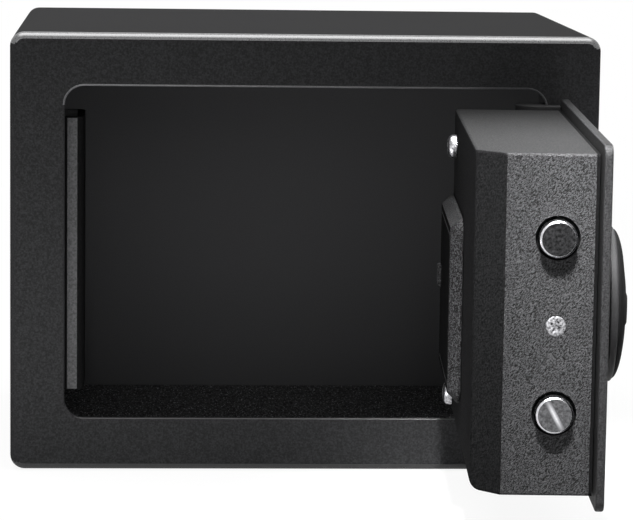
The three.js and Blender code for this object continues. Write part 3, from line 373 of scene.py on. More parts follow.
bend_highlight_faces = bent & (facing[2] > 0.12) & (z > mouth[3] + 2 * front_bend)
on_foot = bent & (abs(facing[2] + 0.46) < 0.34) & (z < case_z0 + front_bend)
# The upper lip gets the painted lip highlight, the top front bend the painted bend highlight, and the inside faces
# the inner coat, painted paler as painted light.
paint_faces(shell, np.select([on_foot | low_lip, bend_highlight_faces, on_lip, within], [4, 3, 2, 1], 0))
fit(shell, "body_shell", "case", "case_paint", outer_coat, lit_inner_coat, lip_highlight_coat, bend_highlight_coat, foot_coat)

# The back plate: the same sheet steel, set into the back of the shell and welded all round. A stack
# of rounded rectangles with its outer edge eased by half a millimetre; its inside has the inner
# coat, painted paler as painted light.

back_corner, back_ease = 3.3, 0.5
x0, x1, back_y0, back_y1, z0, z1 = span("back_plate")
back_panel = skin("back_panel", inward((x0, x1, z0, z1), back_corner, [
    (0, back_y0), *bend(back_ease, back_y1 - back_ease, back_y1, 4),
]))
_, facing = faces_of(back_panel)
# The inside face gets the inner coat, painted paler as painted light.
paint_faces(back_panel, facing[1] < -0.9)
fit(back_panel, "back_plate", "case", "case_paint", outer_coat, lit_inner_coat)

# The floor mat: a rectangle of short black needle felt that lies loose on the floor, with two holes
# over the fixing holes. It is a row of cross sections from front to back, whose tops are raised and
# sunk by seeded noise into tufts.


def stretched(place, lengths, turned=(0, 0, 0)):
    """Stretches a pattern along three axes, after the axes are turned by angles in degrees."""
    return add(place.id_data, "ShaderNodeMapping", {
        "Vector": place, "Scale": lengths, "Rotation": tuple(math.radians(a) for a in turned),
    }, vector_type="TEXTURE").outputs["Vector"]


def felt():
    """Black fibres with scattered paler ones, longer from front to back, and a fluffy bump."""
    finish, shader, place = blank("needle felt", grey(0.008), 0.95, specular=0.04)
    shader.inputs["Sheen Weight"].default_value = 0.03
    shader.inputs["Sheen Roughness"].default_value = 0.5
    along_nap = stretched(place, (1, 2.6, 1))
    tufts = noise(along_nap, 1.5, 4.0, 0.7)
    fibres = noise(along_nap, 0.8, 3.0, 0.65)
    ground = mixed(spread(tufts, 0.38, 0.66, 0, 1), grey(0.006), grey(0.055))
    textured(shader, fibres, (0.56, 0.7), (ground, grey(0.4)), None, (0.2, 0.8, bump(tufts, 0.4, 0.8)))
    return finish


mat_x0, mat_x1, mat_y0, mat_y1, mat_z0, mat_z1 = span("floor_mat")
mat_corner, mat_ease, mat_hole, tuft, tuft_spread, tuft_high, tuft_low = 4.0, 0.8, 8, 1.4, 0.3, 0.28, 0.7
corner_turn = np.linspace(0, math.pi / 2, 8)
rows_y = np.concatenate([
    mat_y0 + mat_corner * (1 - np.cos(corner_turn)),
    np.arange(mat_y0 + mat_corner + tuft, mat_y1 - mat_corner - tuft / 2, tuft),
    mat_y1 - mat_corner * (1 - np.sin(corner_turn)),
])
past = np.abs(rows_y - (mat_y0 + mat_y1) / 2) - ((mat_y1 - mat_y0) / 2 - mat_corner)
half_width = np.sqrt(mat_corner ** 2 - np.clip(past, 0, mat_corner) ** 2)
half_width = ((mat_x1 - mat_x0) / 2 - mat_corner + half_width)[:, None]
mat_x = half_width * np.linspace(-1, 1, int((mat_x1 - mat_x0) / tuft))
mat_y = np.broadcast_to(rows_y[:, None], mat_x.shape)
lumps = np.random.default_rng(11).normal(0, 1, mat_x.shape)
lumps[1:-1, 1:-1] = 0.5 * lumps[1:-1, 1:-1] + 0.125 * (
    lumps[:-2, 1:-1] + lumps[2:, 1:-1] + lumps[1:-1, :-2] + lumps[1:-1, 2:]
)
from_edge = np.minimum(half_width - np.abs(mat_x), np.minimum(mat_y - mat_y0, mat_y1 - mat_y))
eased_edge = np.sqrt(np.clip(1 - (1 - np.clip(from_edge / mat_ease, 0, 1)) ** 2, 0, 1))
mat_top = mat_z1 - mat_ease * (1 - eased_edge) - tuft_high
mat_top += np.clip(tuft_spread * lumps, -tuft_low, tuft_high) * np.clip(from_edge / 2, 0, 1)
under_x = half_width * np.linspace(1, -1, 5)
under_y = np.broadcast_to(rows_y[:, None], under_x.shape)
mat = skin("felt_mat", np.concatenate([
    np.stack([mat_x, mat_y, mat_top], axis=-1),
    np.stack([under_x, under_y, np.full_like(under_x, mat_z0)], axis=-1),
], axis=1))
mat_ends = (mat_z0 - overrun, mat_z1 + overrun)
cut(mat, *[hole(mat_hole, (x, 0), mat_ends, 2) for x in (-fixing_x, fixing_x)])
fit(mat, "floor_mat", "case", "mat", felt())

# The strike channel: 2 mm sheet bent to a C and welded to the left wall behind the front frame. The
# door's bolts shoot into its two holes. Its section is a path with a 3.2 mm bend, thickened inwards
# and carried upwards. A paler, coarser coat than the case's. The strip behind the frame's edge, the
# bend and a line along the top are painted near black as painted shade; the back leg has the inner
# coat, painted paler as painted light.


def arc(centre, radius, start, end, steps=8):
    """Points on a circle, from one angle to another in degrees."""
    angle = np.radians(np.linspace(start, end, steps + 1))
    return np.stack([centre[0] + radius * np.cos(angle), centre[1] + radius * np.sin(angle)], axis=-1)


def ease_edges(piece, ease, steps, angle):
    """Adds a bevel that rounds every edge sharper than the angle."""
    edge = piece.modifiers.new("eased edges", "BEVEL")
    edge.width, edge.segments, edge.limit_method = ease / 1000, steps, "ANGLE"
    edge.angle_limit = math.radians(angle)


def upright_prism(name, outline, heights, ease, steps=3):
    """An outline in X and Y carried up through the heights, with its edges eased."""
    prism = skin(name, [np.column_stack([outline, np.full(len(outline), z)]) for z in heights])
    ease_edges(prism, ease, steps, 32)
    bake_down(prism)
    return prism


def channel_path(inset):
    """The C from the front leg's root round both bends to the back leg's, inset into the sheet."""
    x, y0, y1 = strike_x1 - strike_bend, strike_y0 + strike_bend, strike_y1 - strike_bend
    radius = strike_bend - inset
    return np.concatenate([
        [(strike_x0, strike_y0 + inset), (strike_shade, strike_y0 + inset)], arc((x, y0), radius, -90, 0),
        arc((x, y1), radius, 0, 90), [(strike_shade, strike_y1 - inset), (strike_x0, strike_y1 - inset)],
    ])


strike_x0, strike_x1, strike_y0, strike_y1, strike_z0, strike_z1 = span("strike_channel")
strike_bend, strike_hole, strike_shade_line, strike_shade = 3.2, 8, 0.6, mouth[0] + 0.9
bolt_radius, strike_reach = 6.5, 6
bolt_spans = {name: span("bolt_" + name) for name in ("upper", "lower")}
bolt_y = bolt_spans["upper"][2] + bolt_radius
bolt_heights = {name: box[4] + bolt_radius for name, box in bolt_spans.items()}
channel = upright_prism(
    "strike_channel_sheet", np.concatenate([channel_path(0), channel_path(sheet)[::-1]]),
    (strike_z0, strike_z1 - strike_shade_line, strike_z1), 0.35, 2,
)
strike_ends = (strike_x1 - strike_reach, strike_x1 + strike_reach)
cut(channel, *[hole(strike_hole, (bolt_y, z), strike_ends, 0, 48) for z in bolt_heights.values()])
# The front leg's strip behind the frame's edge, its bend and its top line get painted shade; the back leg's front
# face gets the inner coat, painted paler as painted light.
(x, y, z), facing = faces_of(channel)
front_leg = (x > strike_shade) & (y < bolt_y) & (facing[1] < -0.995)
unshaded_front = front_leg & (z < strike_z1 - strike_shade_line)
back_leg = (x < strike_x1 - strike_bend) & (y > bolt_y) & (facing[1] < -0.9)
paint_faces(channel, unshaded_front + 2 * back_leg)
channel_coat = powder_coat("channel powder coat", 0.019, 0.043, 0.8, 0.08, 0.6, 0.15)
# A near black coat used as painted shade in hollows, gaps and holes.
shade_coat = powder_coat("painted shade in the hollows", 0.002, 0.004, 0.6, 0.02, 0.85, 0.02)
fit(channel, "strike_channel", "case", "case_paint", shade_coat, channel_coat, lit_inner_coat)

# The hinges' fixed halves: a bent 3 mm bracket welded behind the right side of the frame at top and
# bottom, with a zinc-plated pin through it and a steel washer under it. The solid brackets keep
# their own shape with eased edges; the pins are turned.


def keep(name, finish, ease=0):
    """Keeps a solid from the model, with its finish changed and its edges eased if asked."""
    piece = nodes[name]
    if ease:
        piece.modifiers.new("weld", "WELD").merge_threshold = 1e-6
        ease_edges(piece, ease, 2, 40)
        piece.modifiers.new("flat faces", "WEIGHTED_NORMAL").keep_sharp = True
    piece.material_slots[0].material = finish


def plated(name, dark, light, roughness, streak=None):
    """Bright plate over turned or drawn steel: fine mottling, drawn out along an axis if given."""
    finish, shader, place = blank(name, light, roughness, metallic=1.0)
    mottle = noise(stretched(place, streak) if streak else place, 0.8, 4.0, 0.65)
    textured(shader, mottle, (0.35, 0.7), (dark, light), (roughness - 0.05, roughness + 0.12), (0.01, 0.6))
    return finish


def turned(name, profile, start, along, steps=64, ring=False):
    """A turned solid: start + distance x axis + radius x circle, for each (distance, radius)."""
    profile, along = np.array(profile, float), np.array(along, float)
    middle = np.array(start, float) + profile[:, :1] * along
    return skin(name, middle[:, None, :] + profile[:, 1][:, None, None] * around(along, steps), ring)


def eased(points, radius, steps=4):
    """A broken line with its inner corners rounded: each becomes a curve between two points that
    lie radius from it, or nearly half a side where the side is short."""
    points = [np.array(p, float) for p in points]
    line = [points[0]]
    for before, corner, after in zip(points, points[1:], points[2:]):
        back, on = before - corner, after - corner
        reach = min(radius, 0.45 * np.linalg.norm(back), 0.45 * np.linalg.norm(on))
        a, b = corner + reach * back / np.linalg.norm(back), corner + reach * on / np.linalg.norm(on)
        share = np.linspace(0, 1, steps + 1)[:, None]
        line += list((1 - share) ** 2 * a + 2 * share * (1 - share) * corner + share ** 2 * b)
    return np.array(line + [points[-1]])


zinc = plated("zinc plate", grey(0.36), grey(0.62), 0.3)
plain_steel = plated("drawn steel", grey(0.2), grey(0.34), 0.38)
bracket_coat = powder_coat("bracket powder coat", 0.005, 0.009, 0.5, 0.03, 0.6, 0.1)
centre_line = 0.001
pin_radius, pin_head, pin_head_height = 2.0, 3.2, 1.7
for end, side in (("upper", 1), ("lower", -1)):
    keep("hinge_bracket_" + end, bracket_coat, 0.5)
    keep("hinge_washer_" + end, plain_steel, 0.15)
    z0, z1 = span("hinge_pin_" + end)[4:]
    length = z1 - z0
    neck = length - pin_head_height
    profile = eased([
        (0, centre_line), (0, pin_radius - 0.5), (0.6, pin_radius), (neck, pin_radius), (neck, pin_head),
        (length, pin_head - 0.2), (length, centre_line),
    ], 0.5)
    pin = turned("pin_" + end, profile, (*pin_place, z0 if side > 0 else z1), (0, 0, side), 40)
    fit(pin, "hinge_pin_" + end, "case", "zinc", zinc)

# The hinge arms: two goosenecks of 4 mm steel, welded to the door plate behind its hinged edge. Each
# rises from its foot and comes back round the frame's edge to an eye on the pin. Its outline is
# drawn from the pin, in arcs and straight stretches.

arm_outline = np.concatenate([
    [(-16, -0.7), (-9.5, -0.7)], arc((-6.3, 3), 3.2, 180, 0),
    arc((0, 0), 3.6, 150, 390)[1:], [(-4.0, 16.4)], arc((-7.6, 8), 8.4, 90, 180),
]) + pin_place
pin_gap, eye_reach = 0.3, 3
for end in ("upper", "lower"):
    z0, z1 = span("hinge_arm_" + end)[4:]
    arm = upright_prism("gooseneck_" + end, arm_outline, (z0, z1), 0.5)
    cut(arm, hole(pin_radius + pin_gap, pin_place, (z0 - eye_reach, z1 + eye_reach), 2))
    fit(arm, "hinge_arm_" + end, "door", "door_paint", bracket_coat)

# The door plate: 3 mm steel with rounded corners and eased edges, in a leathery textured coat, with
# darker copies of the coat on its latch-side edge, back and top as painted shade. The spindle, the
# keys, the lamps and the key lock pass through it.


def leather_coat(name, dark, light, grain, depth, roughness, specular):
    """Textured powder coat: short ridges that lean one way, paler on the ridges and darker in the hollows, partly
    the coat's own tone and partly painted shade.
    """
    finish, shader, place = blank(name, grey(light), roughness, specular=specular)
    ridges = noise(stretched(place, (2.5, 1, 1), (0, -45, 0)), grain, 2.0, 0.6)
    slow = bump(noise(place, 6 * grain, 1.0), 0.2, 0.4)
    textured(shader, ridges, (0.4, 0.64), (grey(dark), grey(light)),
             (roughness + 0.1, roughness - 0.08), (depth, 1.0, slow))
    return finish


def middle_and_half(name):
    """A node's middle and half its size, along X, Y and Z."""
    box = np.reshape(span(name), (3, 2))
    return box.mean(axis=1), (box[:, 1] - box[:, 0]) / 2


def window(box, radius, ends, inset=0, steps=7):
    """A cutting tool along Y with the outline of a rounded rectangle, set into its box."""
    return skin("tool", inward(box, radius, [(inset, y) for y in ends], steps))


door_coat = leather_coat("textured door coat", 0.002, 0.037, 0.3, 0.24, 0.55, 0.08)
# Copies of the door coat, darker than it: an evener one for faces that look up or back, one for the housing's
# chamfer, back face and sides, and one for the plate's latch-side edge. Their darkness is painted shade.
even_shaded_coat = leather_coat("evener door coat with painted shade", 0.002, 0.009, 0.42, 0.06, 0.6, 0.14)
shaded_door_coat = leather_coat("door coat with painted shade", 0.0025, 0.0095, 0.42, 0.05, 0.85, 0.01)
shaded_edge_coat = leather_coat("plate edge coat with painted shade", 0.003, 0.022, 0.3, 0.15, 0.55, 0.1)
x0, x1, plate_front, plate_back, z0, z1 = span("door_plate")
plate_corner, plate_edge = 4.2, 0.7
plate = skin("door_leaf", inward((x0, x1, z0, z1), plate_corner, [
    *bend(plate_edge, plate_front + plate_edge, plate_front)[::-1],
    *bend(plate_edge, plate_back - plate_edge, plate_back),
]))

key_names = [*"123456789", "clear", "0", "enter"]
key_spans = np.array([span("key_" + name) for name in key_names])
key_outlines, key_room = key_spans[:, [0, 1, 4, 5]], 0.8
grow = key_room * np.array([-1, 1, -1, 1])
key_window = np.where(grow < 0, key_outlines.min(axis=0), key_outlines.max(axis=0)) + grow
flange_x0, flange_x1, flange_y0, flange_y1, flange_z0, flange_z1 = span("knob_flange")
knob_x, knob_z = (flange_x0 + flange_x1) / 2, (flange_z0 + flange_z1) / 2
(lock_x, _, lock_z), (lock_radius, _, _) = middle_and_half("key_lock_body")
lamp_spans = {name: span("led_lens_" + name) for name in ("red", "green")}
lamp_x = {name: (box[0] + box[1]) / 2 for name, box in lamp_spans.items()}
lamp_z = sum(lamp_spans["red"][4:]) / 2
socket_radius, lock_gap, lamp_hole, window_corner = 4.3, 0.3, 1.9, 1.6
through = (plate_front - 6, plate_back + 6)
cut(
    plate, window(key_window, window_corner, through), hole(socket_radius, (knob_x, knob_z), through),
    hole(lock_radius + lock_gap, (lock_x, lock_z), through),
    *[hole(lamp_hole, (x, lamp_z), through) for x in lamp_x.values()],
)
# The plate's back and top faces get the evener darker copy and its latch-side edge the darker edge copy, as
# painted shade.
(x, y, z), facing = faces_of(plate)
on_edge = (abs(facing[1]) < 0.9) & (x < x0 + 1)
paint_faces(plate, np.where(on_edge, 2, (facing[1] > 0.9) | (facing[2] > 0.9)))
fit(plate, "door_plate", "door", "door_paint", door_coat, even_shaded_coat, shaded_edge_coat)

# The lock housing: a pan of 1.5 mm sheet that covers the works on the back of the door, with its
# latch edge chamfered at 45 degrees so that it clears the frame. It is a stack of rectangles whose
# left side follows the chamfer and whose other sides turn in round small bends.

pan_x0, pan_x1, pan_front, pan_back, pan_z0, pan_z1 = span("lock_housing")
pan_sheet, pan_chamfer, pan_fold, pan_shade = 1.5, 10, 0.4, 1.1
pan_foot_bend, pan_side_bend, pan_head_bend, pan_ending = 3.4, 1.6, 1.0, 0.5


def turned_in(radius, y):
    """How far a side has turned in at depth y: r - sqrt(r^2 - (y - y_start)^2)."""
    past = np.clip(y - (pan_back - radius), 0, radius)
    return radius - math.sqrt(max(radius ** 2 - past ** 2, 0))


def pan_loop(wall, y):
    """The pan's outline at depth y; wall is the distance in from its outside. Past the chamfer's
    start the left side moves in by as much as y moves back, with a soft start over the fold."""
    depth = y + wall
    past = depth - (pan_back - pan_chamfer)
    slope = (past + pan_fold) ** 2 / (4 * pan_fold) if abs(past) < pan_fold else max(past, 0)
    ending = max(depth - (pan_back - pan_ending), 0)
    return rectangle(
        pan_x0 + slope + 2.4 * ending ** 2 + wall * (1 if past < 0 else 0.6),
        pan_x1 - turned_in(pan_side_bend, depth) - wall,
        pan_z0 + turned_in(pan_foot_bend, depth) + wall,
        pan_z1 - turned_in(pan_head_bend, depth) - wall,
        max(1.1 - wall / 2, 0.3) + turned_in(pan_side_bend, depth), y, 5,
    )


levels = np.concatenate([
    [pan_front, pan_front + pan_shade, pan_back - pan_chamfer - 2],
    pan_back - pan_chamfer + np.linspace(-pan_fold, pan_fold, 7), [pan_back - 6.5],
    pan_back - pan_foot_bend * (1 - np.sin(np.linspace(0, math.pi / 2, 12))),
])
outside = [pan_loop(0, y) for y in levels]
inside = [pan_loop(pan_sheet, y) for y in np.concatenate([levels[:2], levels[2:] - pan_sheet])]
housing = skin("housing_pan", inside[::-1] + outside)

(screw_x, _, _), (head_radius, _, _) = middle_and_half("housing_screw_upper")
screw_tip = span("housing_screw_upper")[3]
screw_heights = {name: middle_and_half("housing_screw_" + name)[0][2] for name in ("upper", "lower")}
(_, edge_y, edge_z), (_, edge_head, _) = middle_and_half("edge_screw")
bolt_hole, screw_hole, edge_hole, sink_radius, sink_tip = bolt_radius + 1.1, 2.3, 2.05, 9.8, 1.3
bay_x0, bay_x1, _, _, bay_z0, bay_z1 = span("battery_tray")
bay_flange, bay_gap = 2, 0.3
bay_hole = (bay_x0 + bay_flange - bay_gap, bay_x1 - bay_flange + bay_gap, bay_z0 - bay_gap, bay_z1 + bay_gap)
cut(
    housing,
    *[hole(bolt_hole, (bolt_y, z), (pan_x0 - 9, pan_x0 + 9), 0, 64) for z in bolt_heights.values()],
    hole(sink_radius, (edge_y, edge_z), (pan_x0 - 6.3, pan_x0 + 2.2), 0, tip=sink_tip),
    hole(edge_hole, (edge_y, edge_z), (pan_x0 - 7, pan_x0 + 9), 0),
    *[hole(screw_hole, (screw_x, z), (pan_back - 6, pan_back + 8)) for z in screw_heights.values()],
    window(bay_hole, 0.4, (pan_back - 7, pan_back + 7)),
)
# The bolt holes' walls, the pan's inside and a strip along its foot get painted shade; the latch face keeps the
# textured coat, the faces that look up get the evener copy and the rest, the chamfer and back face among them, the
# darker copy, both painted shade.
place, facing = faces_of(housing)
from_bolt = np.min([np.hypot(place[1] - bolt_y, place[2] - z) for z in bolt_heights.values()], axis=0)
in_hole = (place[0] < pan_x0 + 4) & (from_bolt < bolt_hole + 0.02)
pan_middle = np.array([[(pan_x0 + pan_x1) / 2], [pan_front], [(pan_z0 + pan_z1) / 2]])
hollow_side = ((pan_middle - place) * facing).sum(axis=0) > 0
foot_edge = place[1] < pan_front + pan_shade
latch_face = (facing[0] < -0.35) & (place[1] < pan_back - pan_chamfer)
upper_side = facing[2] > 0.6
paint_faces(housing, np.select([in_hole | hollow_side | foot_edge, latch_face, upper_side], [2, 0, 1], 3))
fit(housing, "lock_housing", "door", "door_paint", door_coat, even_shaded_coat, shade_coat, shaded_door_coat, sharp=32)

# The housing's fastenings: two pan-head screws into tapped posts on the plate, and one countersunk
# screw in the latch edge that holds the bolt guide. Bright zinc plate, cross recesses.


def cross(centre, arm, width, start, end, axis, lean):
    """Two crossed cutting tools, leaned by an angle, that narrow from start to end along an axis."""
    tools = []
    for angle in (math.radians(lean), math.radians(lean) + math.pi / 2):
        one = np.array([math.cos(angle), math.sin(angle)])
        other = np.array([-math.sin(angle), math.cos(angle)])
        loops = []
        for depth, share in ((start, 1.0), (end, 0.5)):
            reach, square = arm * share, ((-1, -1), (1, -1), (1, 1), (-1, 1))
            flat = np.array([sx * reach * one + sy * width * other for sx, sy in square])
            loops.append(np.array(centre) + np.insert(flat, axis, depth, axis=1))
        tools.append(skin("tool", loops))
    return tools


bright_screw = plated("bright screw plate", grey(0.16), grey(0.6), 0.26)
head_y, head_rim, shank = pan_back + 0.24, 1.2, 2
head_height = screw_tip - head_y
head = [(head_rim + (head_height - head_rim) * math.sin(a), head_radius * math.cos(a) ** 0.55)
        for a in np.linspace(0, 1.5, 12)]
for end, z in screw_heights.items():
    profile = [(-12, centre_line), (-12, shank), (0, shank), (0, head_radius - 0.2), (0.2, head_radius)]
    profile += head + [(head_height, centre_line)]
    screw = turned("pan_screw_" + end, profile, (screw_x, head_y, z), (0, 1, 0), 56)
    cut(screw, *cross((screw_x, head_y, z), 2.5, 0.55, head_height + 0.4, 1.6, 1, 20))
    fit(screw, "housing_screw_" + end, "door", "chrome", bright_screw)
    keep("housing_post_" + end, zinc)

worn_screw = plated("worn screw plate", grey(0.04), grey(0.55), 0.3)
edge_shank = 1.75
profile = eased([
    (0.15, centre_line), (0, edge_head - 0.9), (0.05, edge_head - 0.15), (0.2, edge_head),
    (1.9, edge_shank), (9, edge_shank), (9, centre_line),
], 0.12, 2)
edge_screw = turned("latch_edge_screw", profile, (pan_x0, edge_y, edge_z), (1, 0, 0), 56)
cut(edge_screw, *cross((pan_x0, edge_y, edge_z), 2.2, 0.42, -0.4, 1.3, 0, 28))
fit(edge_screw, "edge_screw", "door", "chrome", worn_screw)

# The bolts: two 13 mm round steel bars, turned with a small chamfer and plated, that slide out of
# the latch edge. The upper face has a darker plate than the lower; the lower has a painted
# highlight, a streak of reflected light, in a band across it.


def arithmetic(operation, *values, kind="Math"):
    """One step of arithmetic on what other nodes give."""
    made = add(values[0].id_data, "ShaderNode" + kind, dict(enumerate(values)), operation=operation)
    return made.outputs["Value" if operation == "LENGTH" else 0]


def bolt_face(name, dark, light, z, painted_streak=0.0):
    """A parted-off end under uneven plate, with a painted highlight band, a streak of reflected light, across its
    middle if given.
    """
    finish, shader, place = blank(name, grey(light), 0.4, metallic=1.0)
    mottle = noise(place, 1.1, 5.0, 0.7)
    colour = textured(shader, mottle, (0.36, 0.68), (grey(dark), grey(light)), (0.34, 0.5), (0.03, 0.7))
    if painted_streak:
        tree = shader.id_data
        centre = turned_about_pins(np.array([[bolt_spans["lower"][0], bolt_y, z]]), open_angle)[0] / 1000
        on_face = arithmetic("SUBTRACT", place, tuple(centre), kind="VectorMath")
        leaned = add(tree, "ShaderNodeVectorRotate", {
            "Vector": on_face, "Angle": math.radians(28), "Axis": (0, 1, 0),
        }).outputs[0]
        parts = add(tree, "ShaderNodeSeparateXYZ", {0: leaned})
        across = arithmetic("ABSOLUTE", parts.outputs["X"])
        wavy = arithmetic("MULTIPLY_ADD", mottle, 0.0012, across)
        # The painted highlight: a pale band across the face that fades outwards.
        fading = spread(arithmetic("LENGTH", on_face, kind="VectorMath"), 0.0015, 0.0062, 1, 0.1)
        highlight_band = arithmetic("MULTIPLY", spread(wavy, 0.0005, 0.0017, painted_streak, 0), fading)
        tree.links.new(mixed(highlight_band, colour, grey(0.75)), shader.inputs["Base Color"])
    return finish


chrome = plated("bolt plate", grey(0.55), grey(0.8), 0.16, (12, 1, 1))
# The upper face's plate is darker; the lower face gets the painted highlight band.
face_colours = {"upper": (0.006, 0.04, 0.0), "lower": (0.045, 0.13, 0.75)}
bolt_bar, bolt_tail, tail_length = bolt_radius - 0.15, 4, 2.8
for end, (dark, light, painted_streak) in face_colours.items():
    tip, root = bolt_spans[end][:2]
    length, z = root - tip, bolt_heights[end]
    tail = length - tail_length
    bolt = turned("bolt_bar_" + end, eased([
        (0, centre_line), (0, bolt_bar - 0.75), (0, bolt_bar - 0.65), (0.65, bolt_bar), (2, bolt_bar),
        (tail, bolt_bar), (tail, bolt_tail), (length, bolt_tail), (length, centre_line),
    ], 0.2, 3), (tip, bolt_y, z), (1, 0, 0), 72)
    place, facing = faces_of(bolt)
    paint_faces(bolt, (place[0] < tip + 0.1) & (facing[0] < -0.98))
    fit(bolt, "bolt_" + end, "bolts", "chrome", chrome, bolt_face("bolt face " + end, dark, light, z, painted_streak))

# The bolt work inside the housing: a bent guide, the slotted carrier on its two studs, the cam that
# drives it, and the solenoid whose plunger blocks it. Plated and plain steel, seen only through the
# bolt holes, so the model's own solids stay; the guide is painted near black as painted shade.

dull_zinc = plated("dull zinc plate", grey(0.16), grey(0.28), 0.45)
# The guide gets painted shade.
keep("bolt_guide", shade_coat)
for name in ("bolt_carrier", "guide_stud_upper", "guide_stud_lower", "cam_disc", "solenoid_plunger"):
    keep(name, dull_zinc)
for name in ("knob_spindle", "solenoid_body"):
    keep(name, plain_steel)

# The knob: a moulded black disc on a flange that is fixed to the plate. Its low dome has two finger
# scoops, which leave a grip bar across it. The front is a height over rows of chords: the bar's
# sides fall on rows of their own, and the chords' ends meet the rim.


def moulded(name, value, roughness, grain=0.35, depth=0.02, specular=0.4):
    """Moulded plastic with a fine spark-eroded grain, paler on the grains."""
    colour = value if isinstance(value, tuple) else grey(value)
    finish, shader, place = blank(name, colour, roughness, specular=specular)
    lighter = tuple(min(1.6 * c + 0.002, 1) for c in colour)
    textured(shader, noise(place, grain, 2.0, 0.5), (0.35, 0.7), (colour, lighter),
             (roughness - 0.06, roughness + 0.08), (depth, 0.8))
    return finish


black_plastic = moulded("grained black plastic", 0.004, 0.6, specular=0.1)
knob_plastic = moulded("knob plastic", 0.002, 0.75, 0.3, 0.008, 0.02)
# The rim is painted lighter than the dome: a painted highlight.
rim_highlight_plastic = moulded("knob rim painted lighter", 0.008, 0.65, 0.3, 0.01, 0.1)
base_plastic = moulded("knob base", 0.003, 0.6, 0.3, 0.008, 0.1)
flange_radius, flange_gap, bore = (flange_x1 - flange_x0) / 2 - 1, plate_front - flange_y1, 12.4
top = flange_gap + (flange_y1 - flange_y0)
profile = eased([
    (flange_gap, bore), (flange_gap, flange_radius - 0.4), (flange_gap + 0.5, flange_radius),
    (top - 0.6, flange_radius), (top, flange_radius - 1.2), (top, bore), (flange_gap, bore),
], 0.3)
flange = turned("knob_base", profile[:-1], (knob_x, plate_front, knob_z), (0, -1, 0), 96, ring=True)
fit(flange, "knob_flange", "door", "black_plastic", base_plastic)

knob_x0, knob_x1, knob_tip, knob_foot, _, _ = span("turn_knob")
knob_radius, groove_radius, rim_edge = (knob_x1 - knob_x0) / 2 + 0.6, 25.2, 1.0
foot, grip_top, rim_top, dome_top = plate_front - knob_foot, plate_front - knob_tip, 6.6, 11.1
face_radius = knob_radius - rim_edge
grip_half_length, grip_half, grip_blend = 24.0, 4.5, 0.7
scoop_middle, scoop_half_length, scoop_half_width, scoop_depth = 13.0, 16.0, 8.5, 3.6


def knob_height(x, z):
    """Height over the plate. The dome is rim + (top - rim) sqrt(1 - (r/R)^2); each scoop is an
    ellipsoid sunk from the dome's level at its middle; the bar follows a taller dome."""
    fall = np.sqrt(np.clip(1 - (x ** 2 + z ** 2) / face_radius ** 2, 0, 1))
    dome = rim_top + (dome_top - rim_top) * fall
    level = rim_top + (dome_top - rim_top) * math.sqrt(1 - (scoop_middle / face_radius) ** 2)
    inside = 1 - (x / scoop_half_length) ** 2 - ((np.abs(z) - scoop_middle) / scoop_half_width) ** 2
    scooped = np.minimum(dome, level - scoop_depth * np.sqrt(np.clip(inside, 0, 1)) + 9 * (inside <= 0))
    bar = rim_top + (grip_top - rim_top) * fall
    past_end = np.clip(np.abs(x) - (grip_half_length - grip_half), 0, None)
    outside = np.hypot(past_end, z) - (grip_half - grip_blend / 2)
    share = np.clip(1 - outside / grip_blend, 0, 1)
    return scooped + (bar - scooped) * share ** 2 * (3 - 2 * share)


bar_rows = np.arcsin(np.linspace(grip_half - 0.4, grip_half + 0.4, 6) / face_radius)
lift = np.concatenate([np.linspace(-math.pi / 2, math.pi / 2, 121), bar_rows, -bar_rows])
lift = np.unique(np.round(lift, 9))
chord_x = face_radius * np.cos(lift)[:, None] * np.sin(np.linspace(-1, 1, 121) * math.pi / 2)
chord_z = np.broadcast_to(face_radius * np.sin(lift)[:, None], chord_x.shape)
knob_face = np.stack([chord_x, knob_height(chord_x, chord_z), chord_z], axis=-1)
bearing = np.concatenate([lift, math.pi - lift[::-1]])
rim_turn = np.linspace(0, math.pi / 2, 6)
knob_side = np.array([
    (foot, centre_line), (foot, groove_radius), (foot + 0.7, groove_radius), (foot + 0.9, knob_radius - 0.5),
    (foot + 1.3, knob_radius), (rim_top - rim_edge, knob_radius),
    *zip(rim_top - rim_edge * (1 - np.sin(rim_turn)), face_radius + rim_edge * np.cos(rim_turn)),
])
side_points = np.stack([
    knob_side[:, 1:] * np.cos(bearing), np.repeat(knob_side[:, :1], len(bearing), axis=1),
    knob_side[:, 1:] * np.sin(bearing),
], axis=-1)
number = numbered(side_points)
faces = quads(number) + quads(numbered(knob_face, number.size), ring_columns=False) + [number[0].tolist()]
points = np.concatenate([side_points.reshape(-1, 3), knob_face.reshape(-1, 3)])
points = np.array([knob_x, plate_front, knob_z]) + points * np.array([1, -1, 1])
body = solid("knob_body", points, faces)
cut(body, hole(socket_radius, (knob_x, knob_z), (plate_front + 3, plate_front - rim_top)))
# The rim's faces get the lighter rim plastic, a painted highlight.
(x, y, z), _ = faces_of(body)
highlighted_rim = (np.hypot(x - knob_x, z - knob_z) > face_radius) & (y < knob_foot - 1)
paint_faces(body, highlighted_rim)
fit(body, "turn_knob", "knob", "black_plastic", knob_plastic, rim_highlight_plastic, sharp=50)

# The battery bay: a black tray let into the housing, four cylindrical cells side by side with a
# spring contact at each end, and a shallow moulded lid with sloped sides and a finger tab near its
# hinge-side end.


def frosted(name, dark, light, roughness):
    """Coarse sparkling grain on moulded plastic: pale crumbs on a black ground."""
    finish, shader, place = blank(name, grey(light), roughness, specular=0.04)
    textured(shader, noise(place, 0.5, 3.0, 0.7), (0.48, 0.6), (grey(dark), grey(light)),
             (roughness + 0.1, roughness - 0.1), (0.09, 1.0))
    return finish


